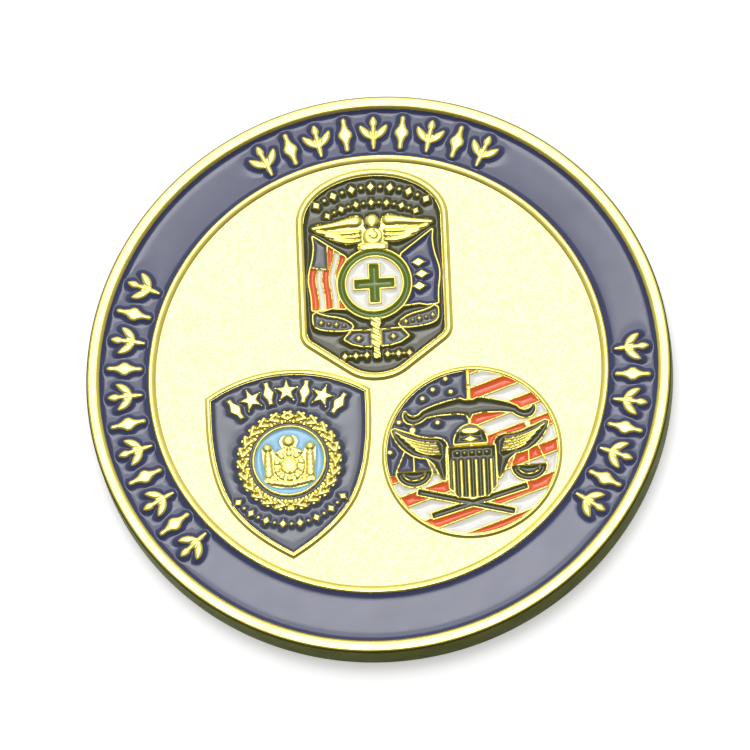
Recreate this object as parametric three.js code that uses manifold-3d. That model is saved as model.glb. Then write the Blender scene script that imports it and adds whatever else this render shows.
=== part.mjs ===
// Challenge coin: one struck, gold-plated brass body and the hardened enamel fills in its recesses.
// Millimetres. The coin lies flat on its reverse: +Z is the obverse, +Y the top of the design, and
// the origin is the centre of the reverse rim plane.
import * as THREE from "three";
import { mergeVertices } from "three/addons/utils/BufferGeometryUtils.js";
import Module from "manifold-3d";

const wasm = await Module();
wasm.setup();

// ---------------------------------------------------------------- driving dimensions

const COIN_RADIUS = 25.4;
const COIN_THICKNESS = 3.2;
const ROUND_SEGMENTS = 60;

// Radii of the obverse, from the edge inwards; the reverse uses the same ones.
const SHOULDER = 0.25; // rounding of the rim's outer corner
const RIM_INNER = 24.2;
const RING_OUTER = 20.0;
const RING_INNER = 19.3;

// Heights above the reverse rim plane.
const RIM_TOP = COIN_THICKNESS;
const RING_TOP = 3.1;
const LINE_TOP = 3.08; // crest borders, gold lines and band ornaments
const FIELD_TOP = 2.94; // sandblasted field
const ENAMEL_TOP = 2.88;
const CELL_FLOOR = 2.5;
const PLATE_SINK = 0.2; // how far a raised solid reaches down into the metal under it
const RING_SLOPE = 0.3; // width of the slope from the ring down to the field

// Depths of the reverse, measured up from its rim plane.
const REVERSE_FIELD = 0.28;
const REVERSE_RING = 0.1;
const REVERSE_ENAMEL = 0.3;
const REVERSE_FLOOR = 0.7;
const REVERSE_SLOPE = 0.2; // width of the slope from the ring to the reverse field

const CLEARANCE = 0.02; // between a fill and the walls and floor of its cell
const LEAST_CELL_AREA = 0.6; // mm2; a smaller opening between gold lines stays metal
const BEYOND = 1; // how far a cutting prism runs past what it cuts

const DEGREE = Math.PI / 180;

// ---------------------------------------------------------------- outlines

const point = (x, y) => new THREE.Vector2(x, y);
const points = (pairs) => pairs.map(([x, y]) => point(x, y));

// The outline, always counter-clockwise and without repeated points.
function tidy(outline) {
  const apart = outline.filter((p, i) => p.distanceTo(outline.at(i - 1)) > 1e-6);
  return THREE.ShapeUtils.isClockWise(apart) ? apart.reverse() : apart;
}

// The closed outline drawn by `draw` on a THREE.Path.
function drawn(draw, divisions = 5) {
  const path = new THREE.Path();
  draw(path);
  return tidy(path.getPoints(divisions));
}

function circle(x, y, radius, segments = 24) {
  return Array.from({ length: segments }, (_, i) => {
    const turn = (i * 2 * Math.PI) / segments;
    return point(x + radius * Math.cos(turn), y + radius * Math.sin(turn));
  });
}

// The outline moved outwards by `distance` (inwards when negative), with mitred corners.
function grow(outline, distance) {
  const count = outline.length;
  return outline.map((p, i) => {
    const before = outline[(i + count - 1) % count];
    const after = outline[(i + 1) % count];
    const arriving = p.clone().sub(before).normalize();
    const leaving = after.clone().sub(p).normalize();
    const reach = distance / Math.max(1 + arriving.dot(leaving), 0.5);
    return point(p.x + (arriving.y + leaving.y) * reach, p.y - (arriving.x + leaving.x) * reach);
  });
}

// The outline turned clockwise by `degrees` about the origin, then moved to (x, y).
function place(outline, x, y, degrees = 0) {
  const turned = outline.map((p) => p.clone().rotateAround(point(0, 0), -degrees * DEGREE));
  return turned.map((p) => point(p.x + x, p.y + y));
}

const mirrored = (outline, axis = 0) => tidy(outline.map((p) => point(2 * axis - p.x, p.y)));

// Closes a half outline, drawn down the right of the axis, with its own mirror image.
function bothSides(half, axis = 0) {
  const right = points(half).map((p) => point(p.x + axis, p.y));
  const left = right
    .filter((p) => Math.abs(p.x - axis) > 1e-6)
    .map((p) => point(2 * axis - p.x, p.y))
    .reverse();
  return tidy([...right, ...left]);
}

// A band of constant width along an open line.
function stroke(pairs, width) {
  const line = points(pairs);
  const sides = [1, -1].map((side) =>
    line.map((p, i) => {
      const before = line[Math.max(i - 1, 0)];
      const after = line[Math.min(i + 1, line.length - 1)];
      const along = after.clone().sub(before).normalize();
      return point(p.x - (along.y * side * width) / 2, p.y + (along.x * side * width) / 2);
    }),
  );
  return tidy([...sides[0], ...sides[1].reverse()]);
}

// ---------------------------------------------------------------- small ornaments, drawn about the origin

const bar = (width, height) =>
  points([
    [-width / 2, -height / 2],
    [width / 2, -height / 2],
    [width / 2, height / 2],
    [-width / 2, height / 2],
  ]);

const lozenge = (width, height) =>
  points([
    [0, -height / 2],
    [width / 2, 0],
    [0, height / 2],
    [-width / 2, 0],
  ]);

const STAR_WAIST = 0.42; // inner radius of a star as a share of its outer one

function star(radius) {
  return Array.from({ length: 10 }, (_, i) => {
    const reach = i % 2 ? radius * STAR_WAIST : radius;
    const turn = i * 36 * DEGREE;
    return point(-reach * Math.sin(turn), reach * Math.cos(turn));
  });
}

// A pointed leaf growing up from the origin.
const leaf = (length, width) =>
  points([
    [0, 0],
    [width / 2, length * 0.45],
    [0, length],
    [-width / 2, length * 0.45],
  ]);

// An upright sprig: a stem, a pair of side leaves and a leaf at the tip.
const sprig = (height) =>
  bothSides([
    [0.27, -height / 2],
    [0.27, -0.75],
    [1.1, -0.15],
    [1.25, 0.75],
    [0.62, 0.5],
    [0.27, 0.1],
    [0.48, 0.85],
    [0, height / 2],
  ]);

// A spear: an upright bar that swells to a lozenge in the middle.
const spear = (height, halfWidth, swell, half) =>
  bothSides([
    [halfWidth, -height / 2],
    [halfWidth, -half],
    [swell, 0],
    [halfWidth, half],
    [halfWidth, height / 2],
  ]);

// A row of small marks is made of lozenges and dots by turns.
const mark = (i, height) => (i % 2 ? circle(0, 0, height * 0.2, 8) : lozenge(height * 0.85, height));

// Where a circle is at an angle clockwise from +Y.
const onCircle = (x, y, radius, turn) => [
  x + radius * Math.sin(turn * DEGREE),
  y + radius * Math.cos(turn * DEGREE),
];

// A row of marks along an arc.
function markArc({ x, y, radius, from, to, count, height }) {
  return Array.from({ length: count }, (_, i) => {
    const turn = from + ((to - from) * i) / (count - 1);
    return place(mark(i, height), ...onCircle(x, y, radius, turn), turn);
  });
}

// A row of marks along a straight line.
function markLine({ from, to, count, height }) {
  return Array.from({ length: count }, (_, i) => {
    const share = i / (count - 1);
    return place(mark(i, height), from[0] + (to[0] - from[0]) * share, from[1] + (to[1] - from[1]) * share);
  });
}

// ---------------------------------------------------------------- solids

function solid(geometry) {
  geometry.deleteAttribute("normal");
  geometry.deleteAttribute("uv");
  const merged = mergeVertices(geometry, 1e-4);
  return new wasm.Manifold(
    new wasm.Mesh({
      numProp: 3,
      vertProperties: merged.attributes.position.array,
      triVerts: merged.index.array,
    }),
  );
}

function prism(outline, bottom, top) {
  const depth = top - bottom;
  const geometry = new THREE.ExtrudeGeometry(new THREE.Shape(outline), { depth, bevelEnabled: false });
  geometry.translate(0, 0, bottom);
  return solid(geometry);
}

function turned(profile) {
  const geometry = new THREE.LatheGeometry(points(profile), ROUND_SEGMENTS);
  geometry.rotateX(Math.PI / 2);
  return solid(geometry);
}

// An enamel cell is the prism over its areas, less every outline in `lines`, all pulled in by `gap`.
function cellPrism(cell, gap, bottom, top) {
  let result = cell.areas
    .map((area) => prism(grow(area, -gap), bottom, top))
    .reduce((whole, part) => whole.add(part));
  for (const limit of cell.within ?? []) {
    result = result.intersect(prism(grow(limit, -gap), bottom, top));
  }
  for (const line of cell.lines) {
    result = result.subtract(prism(grow(line, gap), bottom - BEYOND, top + BEYOND));
  }
  return result;
}

const largest = (solids) => solids.reduce((a, b) => (a.volume() > b.volume() ? a : b));

// The openings that a cell leaves between its gold lines, each with the enamel that fills it.
function openings(cell) {
  const top = RIM_TOP + BEYOND;
  const depth = top - CELL_FLOOR;
  const pockets = cellPrism(cell, 0, CELL_FLOOR, top).decompose();
  const tight = cellPrism(cell, CLEARANCE, CELL_FLOOR + CLEARANCE, ENAMEL_TOP);
  return pockets
    .filter((pocket) => pocket.volume() / depth > LEAST_CELL_AREA)
    .map((pocket) => ({ cell, pocket, fill: largest(pocket.intersect(tight).decompose()) }));
}

// ---------------------------------------------------------------- the ring of ornaments

// Three runs of ornaments stand on the band: at the top, on the right and on the left.
const ORNAMENT_RADIUS = 22.08;
const ORNAMENT_HEIGHT = 3.2;
const ORNAMENT_RUNS = [
  { from: -24.5, to: 26.8, count: 9 },
  { from: 87.8, to: 126.0, count: 7 },
  { from: -131.4, to: -65.6, count: 11 },
];

function ornamentRun({ from, to, count }) {
  return Array.from({ length: count }, (_, i) => {
    const turn = from + ((to - from) * i) / (count - 1);
    const motif = i % 2 ? spear(ORNAMENT_HEIGHT, 0.27, 0.72, 0.75) : sprig(ORNAMENT_HEIGHT);
    return place(motif, ...onCircle(0, 0, ORNAMENT_RADIUS, turn), turn);
  });
}

const bandOrnaments = ORNAMENT_RUNS.flatMap(ornamentRun);

function bandEnamel() {
  const annulus = turned([
    [RING_OUTER + CLEARANCE, CELL_FLOOR + CLEARANCE],
    [RIM_INNER - CLEARANCE, CELL_FLOOR + CLEARANCE],
    [RIM_INNER - CLEARANCE, ENAMEL_TOP],
    [RING_OUTER + CLEARANCE, ENAMEL_TOP],
    [RING_OUTER + CLEARANCE, CELL_FLOOR + CLEARANCE],
  ]);
  return bandOrnaments.reduce(
    (enamel, motif) => enamel.subtract(prism(grow(motif, CLEARANCE), 0, RIM_TOP)),
    annulus,
  );
}

// ---------------------------------------------------------------- the badge crest, at the top

const BADGE_HALF_WIDTH = 6.0;
const BADGE_ARCH_Y = 14.0;
const BADGE_ARCH_RISE = 4.1;
const BADGE_FOOT_Y = -0.05;
const BADGE_BORDER = 0.7;
const THIN_LINE = 0.15;

const badgeOutline = drawn((path) => {
  path.moveTo(BADGE_HALF_WIDTH, 3.9);
  path.lineTo(BADGE_HALF_WIDTH, BADGE_ARCH_Y);
  path.absellipse(0, BADGE_ARCH_Y, BADGE_HALF_WIDTH, BADGE_ARCH_RISE, 0, Math.PI, false);
  path.lineTo(-BADGE_HALF_WIDTH, 3.9);
  path.quadraticCurveTo(-BADGE_HALF_WIDTH, 3.4, -5.5, 3.05);
  path.lineTo(-2.2, 0.62);
  path.quadraticCurveTo(-1.3, BADGE_FOOT_Y, 0, BADGE_FOOT_Y);
  path.quadraticCurveTo(1.3, BADGE_FOOT_Y, 2.2, 0.62);
  path.lineTo(5.5, 3.05);
  path.quadraticCurveTo(BADGE_HALF_WIDTH, 3.4, BADGE_HALF_WIDTH, 3.9);
}, 4);

// Roundel of the badge: a green ring round a white disc with a cross.
const ROUNDEL = { x: 0, y: 8.15, outer: 3.32, green: 3.16, rim: 2.6, white: 2.43 };
const CROSS_REACH = 1.87;
const CROSS_HALF_WIDTH = 0.55;

const roundelCircle = (radius) => circle(ROUNDEL.x, ROUNDEL.y, radius);

function cross(reach, half) {
  const corner = [
    [half, half],
    [half, reach],
    [-half, reach],
  ];
  const quarters = [0, 90, 180, 270].flatMap((turn) => place(points(corner), 0, 0, -turn));
  return tidy(place(quarters, ROUNDEL.x, ROUNDEL.y));
}

// Spread wings with a round head, standing on the roundel.
const badgeWings = bothSides([
  [0, 13.3],
  [0.75, 13.2],
  [0.7, 14.1],
  [1.2, 14.5],
  [1.95, 14.45],
  [3.0, 14.05],
  [5.1, 13.85],
  [5.4, 13.5],
  [4.9, 13.1],
  [4.2, 12.8],
  [3.7, 12.4],
  [2.7, 11.95],
  [1.8, 11.8],
  [1.25, 12.05],
  [1.4, 11.2],
  [0, 11.2],
]);
const badgeHead = circle(0, 13.95, 0.58, 12);

// The pennants hang from slanting poles and wave along their outer edge.
const PENNANT_EDGE = [
  [5.2, 12.75],
  [5.08, 11.9],
  [5.25, 10.6],
  [5.6, 9.5],
  [5.68, 8.6],
  [5.45, 7.2],
  [5.45, 6.05],
];
const pennant = tidy(
  points([...PENNANT_EDGE, [4.5, 5.98], [3.8, 6.15], [2.4, 6.0], [1.5, 8], [2.5, 10.75]]),
);
const leftPennant = mirrored(pennant);
// Three lozenges stand on the right pennant.
const pennantDevice = [
  [3.9, 9.85],
  [4.15, 8.75],
  [3.9, 7.65],
].map(([x, y]) => place(lozenge(1.25, 0.85), x, y));

// A ribbon-like strip of the left pennant, from `near` to `far` inside its waving edge.
function pennantStrip(near, far) {
  const edge = [[5.2, 13.5], ...PENNANT_EDGE, [5.45, 5.5]];
  const outer = edge.map(([x, y]) => [near - x, y]);
  const inner = edge.map(([x, y]) => [far - x, y]).reverse();
  return tidy(points([...outer, ...inner]));
}

const PENNANT_STRIPES = 5;
const STRIPE_PITCH = 0.575;
const STRIPE_LINE = 0.1;
const cantonLimit = points([
  [-6.5, 10.2],
  [-4.05, 9.75],
  [-4.05, 14],
  [-6.5, 14],
]);
const cantonFrame = grow(cantonLimit, STRIPE_LINE);

// The scroll: two outer folds and two cells at the middle, either side of the staff.
const scrollFold = tidy(
  points([
    [5.38, 5.85],
    [4.5, 5.42],
    [2.9, 5.08],
    [1.95, 4.42],
    [2.3, 4.0],
    [4.1, 4.1],
    [5.15, 4.38],
    [5.42, 4.85],
  ]),
);
const scrollMiddle = tidy(
  points([
    [0.5, 3.85],
    [2.15, 3.9],
    [2.75, 3.2],
    [2.1, 2.75],
    [1.2, 2.5],
    [0.5, 2.48],
  ]),
);
const staff = bothSides([
  [0.2, 1.3],
  [0.32, 1.7],
  [0.15, 2.1],
  [0.42, 3.0],
  [0.2, 4.0],
  [0.5, 4.6],
  [0.25, 5.1],
  [0, 5.1],
]);

const badgeMarks = [
  ...markArc({ x: 0, y: 8.29, radius: 8.76, from: -33.2, to: 33.2, count: 13, height: 0.88 }),
  ...markArc({ x: 0, y: 7.7, radius: 7.9, from: -29.2, to: 29.2, count: 13, height: 0.74 }),
  ...markLine({ from: [-2.8, 1.62], to: [-0.9, 1.62], count: 5, height: 0.7 }),
  ...markLine({ from: [0.9, 1.62], to: [2.8, 1.62], count: 5, height: 0.7 }),
];
const scrollMarks = {
  left: markLine({ from: [-4.75, 4.85], to: [-2.8, 4.5], count: 4, height: 0.48 }),
  right: markLine({ from: [2.6, 4.5], to: [4.95, 4.95], count: 5, height: 0.48 }),
  middleLeft: [place(mark(0, 0.6), -1.55, 3.22)],
  middleRight: [place(mark(0, 0.6), 1.45, 3.22)],
};

const badgeScroll = [scrollFold, scrollMiddle, mirrored(scrollFold), mirrored(scrollMiddle)];

const BLACK = 0x3b3c33;
const GREY = 0x63656a;
const NAVY = 0x70748c;
const SLATE = 0x777b96;
const GREEN = 0x567a2e;
const WHITE = 0xe6e4e0;
const RED = 0xd5512f;
const SKY = 0x8fc4e0;

function badgeCells() {
  const raised = [leftPennant, pennant, ...badgeScroll].map((outline) => grow(outline, THIN_LINE));
  const stripes = Array.from({ length: PENNANT_STRIPES }, (_, i) => {
    const near = i > 0 ? STRIPE_PITCH * i + STRIPE_LINE / 2 : -STRIPE_PITCH;
    const far = STRIPE_PITCH * (i + 1) - STRIPE_LINE / 2;
    return {
      name: `pennant_stripe_${i + 1}`,
      colour: i % 2 ? WHITE : RED,
      areas: [leftPennant],
      within: [pennantStrip(near, far)],
      lines: [roundelCircle(ROUNDEL.outer), cantonFrame],
    };
  });
  return [
    {
      name: "badge_ground",
      colour: BLACK,
      areas: [badgeOutline],
      lines: [...raised, roundelCircle(ROUNDEL.outer), badgeWings, badgeHead, staff, ...badgeMarks],
    },
    {
      name: "pennant_canton",
      colour: GREY,
      areas: [leftPennant],
      within: [cantonLimit],
      lines: [roundelCircle(ROUNDEL.outer)],
    },
    ...stripes,
    {
      name: "pennant_blue",
      colour: SLATE,
      areas: [pennant],
      lines: [roundelCircle(ROUNDEL.outer), ...pennantDevice],
    },
    {
      name: "roundel_green_ring",
      colour: GREEN,
      areas: [roundelCircle(ROUNDEL.green)],
      lines: [roundelCircle(ROUNDEL.rim)],
    },
    {
      name: "roundel_white_disc",
      colour: WHITE,
      areas: [roundelCircle(ROUNDEL.white)],
      lines: [cross(CROSS_REACH, CROSS_HALF_WIDTH)],
    },
    {
      name: "roundel_cross",
      colour: GREEN,
      areas: [cross(CROSS_REACH - THIN_LINE, CROSS_HALF_WIDTH - THIN_LINE)],
      lines: [],
    },
    { name: "scroll_fold_right", colour: GREY, areas: [scrollFold], lines: scrollMarks.right },
    { name: "scroll_fold_left", colour: GREY, areas: [mirrored(scrollFold)], lines: scrollMarks.left },
    { name: "scroll_middle_right", colour: GREY, areas: [scrollMiddle], lines: scrollMarks.middleRight },
    {
      name: "scroll_middle_left",
      colour: GREY,
      areas: [mirrored(scrollMiddle)],
      lines: scrollMarks.middleLeft,
    },
  ];
}

// ---------------------------------------------------------------- the shield crest, lower left

const SHIELD_AXIS = -7.92;
const SHIELD_HALF_WIDTH = 6.73;
const SHIELD_SHOULDER_Y = -1.65;
const SHIELD_TOP_Y = 0.32;
const SHIELD_SIDE_Y = -3.1; // where the straight sides begin to curve in
const SHIELD_TIP_Y = -15.88;
const SHIELD_BORDER = 0.5;
const SEAL = { x: -8.0, y: -7.5, disc: 3.02, ring: 3.2 };
const WREATH = { links: 24, inner: 3.5, outer: 4.6, notch: 4.3 };

// Each side is two curves that meet where the side bends; the top is an arc.
const shieldOutline = drawn((path) => {
  const rise = SHIELD_TOP_Y - SHIELD_SHOULDER_Y;
  const topRadius = (SHIELD_HALF_WIDTH ** 2 + rise ** 2) / (2 * rise);
  const topHalfAngle = Math.asin(SHIELD_HALF_WIDTH / topRadius);
  const right = (x) => SHIELD_AXIS + x;
  const left = (x) => SHIELD_AXIS - x;
  path.moveTo(right(0), SHIELD_TIP_Y);
  path.quadraticCurveTo(right(4.15), -13.4, right(5.45), -10.6);
  path.quadraticCurveTo(right(6.75), -7.8, right(SHIELD_HALF_WIDTH), SHIELD_SIDE_Y);
  path.lineTo(right(SHIELD_HALF_WIDTH), SHIELD_SHOULDER_Y);
  path.absarc(
    SHIELD_AXIS,
    SHIELD_TOP_Y - topRadius,
    topRadius,
    Math.PI / 2 - topHalfAngle,
    Math.PI / 2 + topHalfAngle,
    false,
  );
  path.lineTo(left(SHIELD_HALF_WIDTH), SHIELD_SIDE_Y);
  path.quadraticCurveTo(left(6.75), -7.8, left(5.45), -10.6);
  path.quadraticCurveTo(left(4.15), -13.4, left(0), SHIELD_TIP_Y);
}, 6);

// Outer edge of the wreath: a circle with a notch between each pair of links.
const wreathEdge = tidy(
  Array.from({ length: 2 * WREATH.links }, (_, i) => {
    const reach = i % 2 ? WREATH.notch : WREATH.outer;
    return point(...onCircle(SEAL.x, SEAL.y, reach, (i * 180) / WREATH.links));
  }),
);

const sealCircle = (radius) => circle(SEAL.x, SEAL.y, radius, 28);

// Plain emblem on the seal: a round boss between two short pillars, an orb above and a ribbon below.
const sealEmblem = bothSides(
  [
    [0, -5.2],
    [0.6, -5.3],
    [0.8, -5.8],
    [0.5, -6.3],
    [1.1, -6.5],
    [1.4, -6.85],
    [1.4, -6.1],
    [1.85, -5.8],
    [2.3, -6.1],
    [2.3, -6.7],
    [2.1, -8.85],
    [2.25, -9.0],
    [2.1, -9.4],
    [1.2, -9.85],
    [0, -9.95],
  ],
  SEAL.x,
);

const SHIELD_TOP_ROW = { x: -8.0, y: -9.1, radius: 7.93, halfAngle: 34.5, count: 7 };
const SHIELD_LOWER_ROW = { x: SEAL.x, y: SEAL.y, radius: 5.75, from: 128, to: 232, count: 15, height: 0.8 };

// Stars and small spears by turns along the top of the shield.
function shieldTopRow() {
  const { x, y, radius, halfAngle, count } = SHIELD_TOP_ROW;
  return Array.from({ length: count }, (_, i) => {
    const turn = -halfAngle + (2 * halfAngle * i) / (count - 1);
    const motif = i % 2 ? star(1.05) : spear(2.1, 0.2, 0.5, 0.6);
    return place(motif, ...onCircle(x, y, radius, turn), turn);
  });
}

function shieldCells() {
  return [
    {
      name: "shield_ground",
      colour: NAVY,
      areas: [shieldOutline],
      lines: [wreathEdge, ...shieldTopRow(), ...markArc(SHIELD_LOWER_ROW)],
    },
    {
      name: "seal_surround",
      colour: GREY,
      areas: [sealCircle(WREATH.inner)],
      lines: [sealCircle(SEAL.ring)],
    },
    { name: "seal_disc", colour: SKY, areas: [sealCircle(SEAL.disc)], lines: [sealEmblem] },
  ];
}

// ---------------------------------------------------------------- the round crest, lower right

const ROUND = { x: 7.83, y: -7.75, enamel: 7.4, outer: 7.8 };
const OUTLINE = 0.14; // gold line round each black device
const FLAG_SLOPE = 0.33; // rise of the stripes per millimetre to the right
const FLAG_RED = 0.98;
const FLAG_LINE = 0.14;
const FLAG_X = 8.2; // where the heights of the stripes are measured
const FLAG_TOPS = [0.47, -1.95, -4.37, -6.79, -9.35, -12.25, -14.8]; // top edge of each red stripe
const POST_X = 7.75;
const POST_WIDTH = 0.34;
const POST_HEIGHT = 5.3; // from the border down past the beam
const CANTON_FOOT_Y = -9.5;

const roundOutline = circle(ROUND.x, ROUND.y, ROUND.enamel, 44);

// Balance beam with upturned ends and a tongue at the middle.
const beam = bothSides(
  [
    [0, -3.1],
    [0.5, -3.05],
    [0.75, -2.85],
    [2.4, -3.2],
    [4.0, -3.75],
    [4.4, -4.2],
    [4.9, -4.3],
    [5.35, -4.1],
    [5.6, -3.7],
    [5.75, -4.2],
    [5.5, -4.75],
    [4.9, -4.95],
    [4.2, -4.75],
    [3.6, -4.25],
    [0.3, -4.15],
    [0, -4.85],
  ],
  POST_X,
);

const PAN = { offset: 4.97, lip: -9.3, halfWidth: 1.5, depth: 1.3 }; // the offset is from the post

// A pan: a straight lip over a shallow bowl.
function pan(x) {
  return drawn((path) => {
    path.moveTo(x + PAN.halfWidth, PAN.lip);
    path.lineTo(x - PAN.halfWidth, PAN.lip);
    path.absellipse(x, PAN.lip, PAN.halfWidth, PAN.depth, Math.PI, 2 * Math.PI, false);
  }, 4);
}
const panLeft = pan(POST_X - PAN.offset);
const panRight = pan(POST_X + PAN.offset);

// The wing on the right; the left one mirrors it about the post.
const wing = tidy(
  points([
    [9.75, -7.0],
    [10.3, -6.35],
    [11.8, -6.3],
    [13.2, -5.75],
    [14.6, -5.15],
    [14.3, -6.2],
    [13.6, -7.2],
    [12.6, -7.9],
    [11.2, -8.15],
    [10.3, -10.1],
    [10.0, -10.3],
    [10.0, -7.3],
  ]),
);
// Gold quills on the wing, each shorter and lower than the one before.
const QUILLS = 5;
const quills = Array.from({ length: QUILLS }, (_, i) => {
  const root = -6.75 - 0.27 * i;
  const bend = new THREE.QuadraticBezierCurve(
    point(10.75 - 0.08 * i, root),
    point(12.6 - 0.22 * i, root),
    point(14.2 - 0.42 * i, -5.6 - 0.42 * i),
  );
  return stroke(bend.getPoints(3).map((p) => [p.x, p.y]), 0.13);
});

// Shield of the round crest, with a plain chief over upright bars.
const CREST_SHIELD = { axis: 7.82, half: 2.0, top: -7.3, chief: -8.45, side: -10.9, foot: -11.85 };
const crestShield = bothSides(
  [
    [0, CREST_SHIELD.top],
    [CREST_SHIELD.half, CREST_SHIELD.top],
    [CREST_SHIELD.half, CREST_SHIELD.side],
    [CREST_SHIELD.half * 0.65, CREST_SHIELD.foot + 0.1],
    [0, CREST_SHIELD.foot],
  ],
  CREST_SHIELD.axis,
);
const SHIELD_BARS = 6;
const BAR_PITCH = 0.65;
const BAR_WIDTH = 0.22;
const BAR_HEIGHT = CREST_SHIELD.chief - CREST_SHIELD.foot + 0.4;
const crestBars = Array.from({ length: SHIELD_BARS }, (_, i) => {
  const x = CREST_SHIELD.axis + (i - (SHIELD_BARS - 1) / 2) * BAR_PITCH;
  return place(bar(BAR_WIDTH, BAR_HEIGHT), x, CREST_SHIELD.chief - BAR_HEIGHT / 2);
});

// Domed finial above the shield, with a cap and a lozenge on it.
const FINIAL = { foot: -6.95, halfWidth: 1.4, height: 1.65 };
const finial = drawn((path) => {
  path.moveTo(POST_X + FINIAL.halfWidth, FINIAL.foot);
  path.lineTo(POST_X - FINIAL.halfWidth, FINIAL.foot);
  path.absellipse(POST_X, FINIAL.foot, FINIAL.halfWidth, FINIAL.height, Math.PI, 0, true);
}, 4);
const finialCap = drawn((path) => path.absellipse(POST_X, -5.85, 0.8, 0.3, 0, 2 * Math.PI, false), 4);
const finialLozenge = place(lozenge(1.3, 0.62), POST_X, -6.6);

// Two plain staves crossed under the shield.
const STAVE_WIDTH = 0.5;
function stave(side) {
  const upper = [POST_X + 4.7 * side, -11.1];
  const lower = [POST_X - 3.55 * side, -13.35];
  return stroke([upper, lower], STAVE_WIDTH);
}

// The ring under the beam and the three cords that carry a pan.
const PAN_RING = { y: -5.5, radius: 0.3 };
function cords(x) {
  const lip = [x - 1.6, x, x + 1.6].map((end) => [end, PAN.lip]);
  const lines = lip.map((end) => stroke([[x, PAN_RING.y - 0.1], end], FLAG_LINE));
  return [...lines, circle(x, PAN_RING.y, PAN_RING.radius, 8)];
}

// Dots on the blue canton.
const DOT_RADIUS = 0.23;
const cantonDots = [
  [5.8, -1.0],
  [4.67, -1.9],
  [3.75, -2.67],
  [6.22, -2.2],
  [1.62, -4.7],
  [4.97, -4.93],
  [0.75, -7.38],
].map(([x, y]) => circle(x, y, DOT_RADIUS, 8));

// The area of one slanting stripe between two heights measured at FLAG_X.
function flagStripe(top, bottom) {
  const [left, right] = [-2, 18]; // beyond the crest on both sides
  const fall = (x) => FLAG_SLOPE * (x - FLAG_X);
  return tidy(
    points([
      [left, bottom + fall(left)],
      [right, bottom + fall(right)],
      [right, top + fall(right)],
      [left, top + fall(left)],
    ]),
  );
}

// The red and white stripes by turns; the lowest red one runs to the border.
function flagStripes() {
  return FLAG_TOPS.map((top, i) => {
    const nextTop = FLAG_TOPS[i + 1] ?? top - 2 * FLAG_RED;
    const whiteStripe = flagStripe(top - FLAG_RED - FLAG_LINE, nextTop + FLAG_LINE);
    return [
      { name: `flag_red_${i + 1}`, colour: RED, within: [flagStripe(top, top - FLAG_RED)] },
      { name: `flag_white_${i + 1}`, colour: WHITE, within: [whiteStripe] },
    ];
  })
    .flat()
    .slice(0, -1);
}

function roundCells() {
  const leftWing = mirrored(wing, POST_X);
  const leftQuills = quills.map((quill) => mirrored(quill, POST_X));
  const staves = [stave(1), stave(-1)];
  const devices = [beam, panLeft, panRight, wing, leftWing, crestShield, finial, ...staves];
  const post = place(bar(POST_WIDTH, POST_HEIGHT), POST_X, -POST_HEIGHT / 2);
  const lines = [
    ...devices.map((outline) => grow(outline, OUTLINE)),
    post,
    ...cords(POST_X - PAN.offset),
    ...cords(POST_X + PAN.offset),
  ];
  const canton = points([
    [-2, CANTON_FOOT_Y],
    [POST_X, CANTON_FOOT_Y],
    [POST_X, 2],
    [-2, 2],
  ]);
  const besideCanton = [...lines, grow(canton, FLAG_LINE)];
  const onFlag = (stripe) => ({ ...stripe, areas: [roundOutline], lines: besideCanton });
  const black = (name, areas, inner = []) => ({ name, colour: BLACK, areas, lines: inner });
  const shieldEdge = grow(crestShield, OUTLINE);
  return [
    {
      name: "canton",
      colour: NAVY,
      areas: [roundOutline],
      within: [canton],
      lines: [...lines, ...cantonDots],
    },
    ...flagStripes().map(onFlag),
    black("balance_beam", [beam]),
    black("pan_left", [panLeft]),
    black("pan_right", [panRight]),
    black("wing_right", [wing], quills),
    black("wing_left", [leftWing], leftQuills),
    black("crest_shield", [crestShield], crestBars),
    black("finial", [finial], [finialCap, finialLozenge, shieldEdge]),
    black("crossed_staves", staves, [shieldEdge]),
  ];
}

// ---------------------------------------------------------------- the reverse

const REVERSE_DISC = 8.0;
// Laurel leaves on each side of the reverse wreath: where they start, from the top and clockwise in
// degrees, the step between them, and how far each leans out from the wreath.
const LAUREL = { radius: 13.5, leaves: 7, first: 165, step: 22, lean: 65, length: 5, width: 2 };

function reverseEnamel() {
  return turned([
    [RING_OUTER + CLEARANCE, REVERSE_ENAMEL],
    [RIM_INNER - CLEARANCE, REVERSE_ENAMEL],
    [RIM_INNER - CLEARANCE, REVERSE_FLOOR - CLEARANCE],
    [RING_OUTER + CLEARANCE, REVERSE_FLOOR - CLEARANCE],
    [RING_OUTER + CLEARANCE, REVERSE_ENAMEL],
  ]);
}

// Laurel leaves up both sides of a plain disc left free for engraving.
function reverseRelief() {
  const top = REVERSE_FIELD + PLATE_SINK;
  const disc = prism(circle(0, 0, REVERSE_DISC, 36), REVERSE_RING, top);
  const leaves = [1, -1].flatMap((side) =>
    Array.from({ length: LAUREL.leaves }, (_, i) => {
      const turn = side * (LAUREL.first - i * LAUREL.step);
      const stem = onCircle(0, 0, LAUREL.radius, turn);
      const outline = place(leaf(LAUREL.length, LAUREL.width), ...stem, turn - side * LAUREL.lean);
      return prism(outline, REVERSE_RING, top);
    }),
  );
  return [disc, ...leaves];
}

// ---------------------------------------------------------------- the struck body

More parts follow.
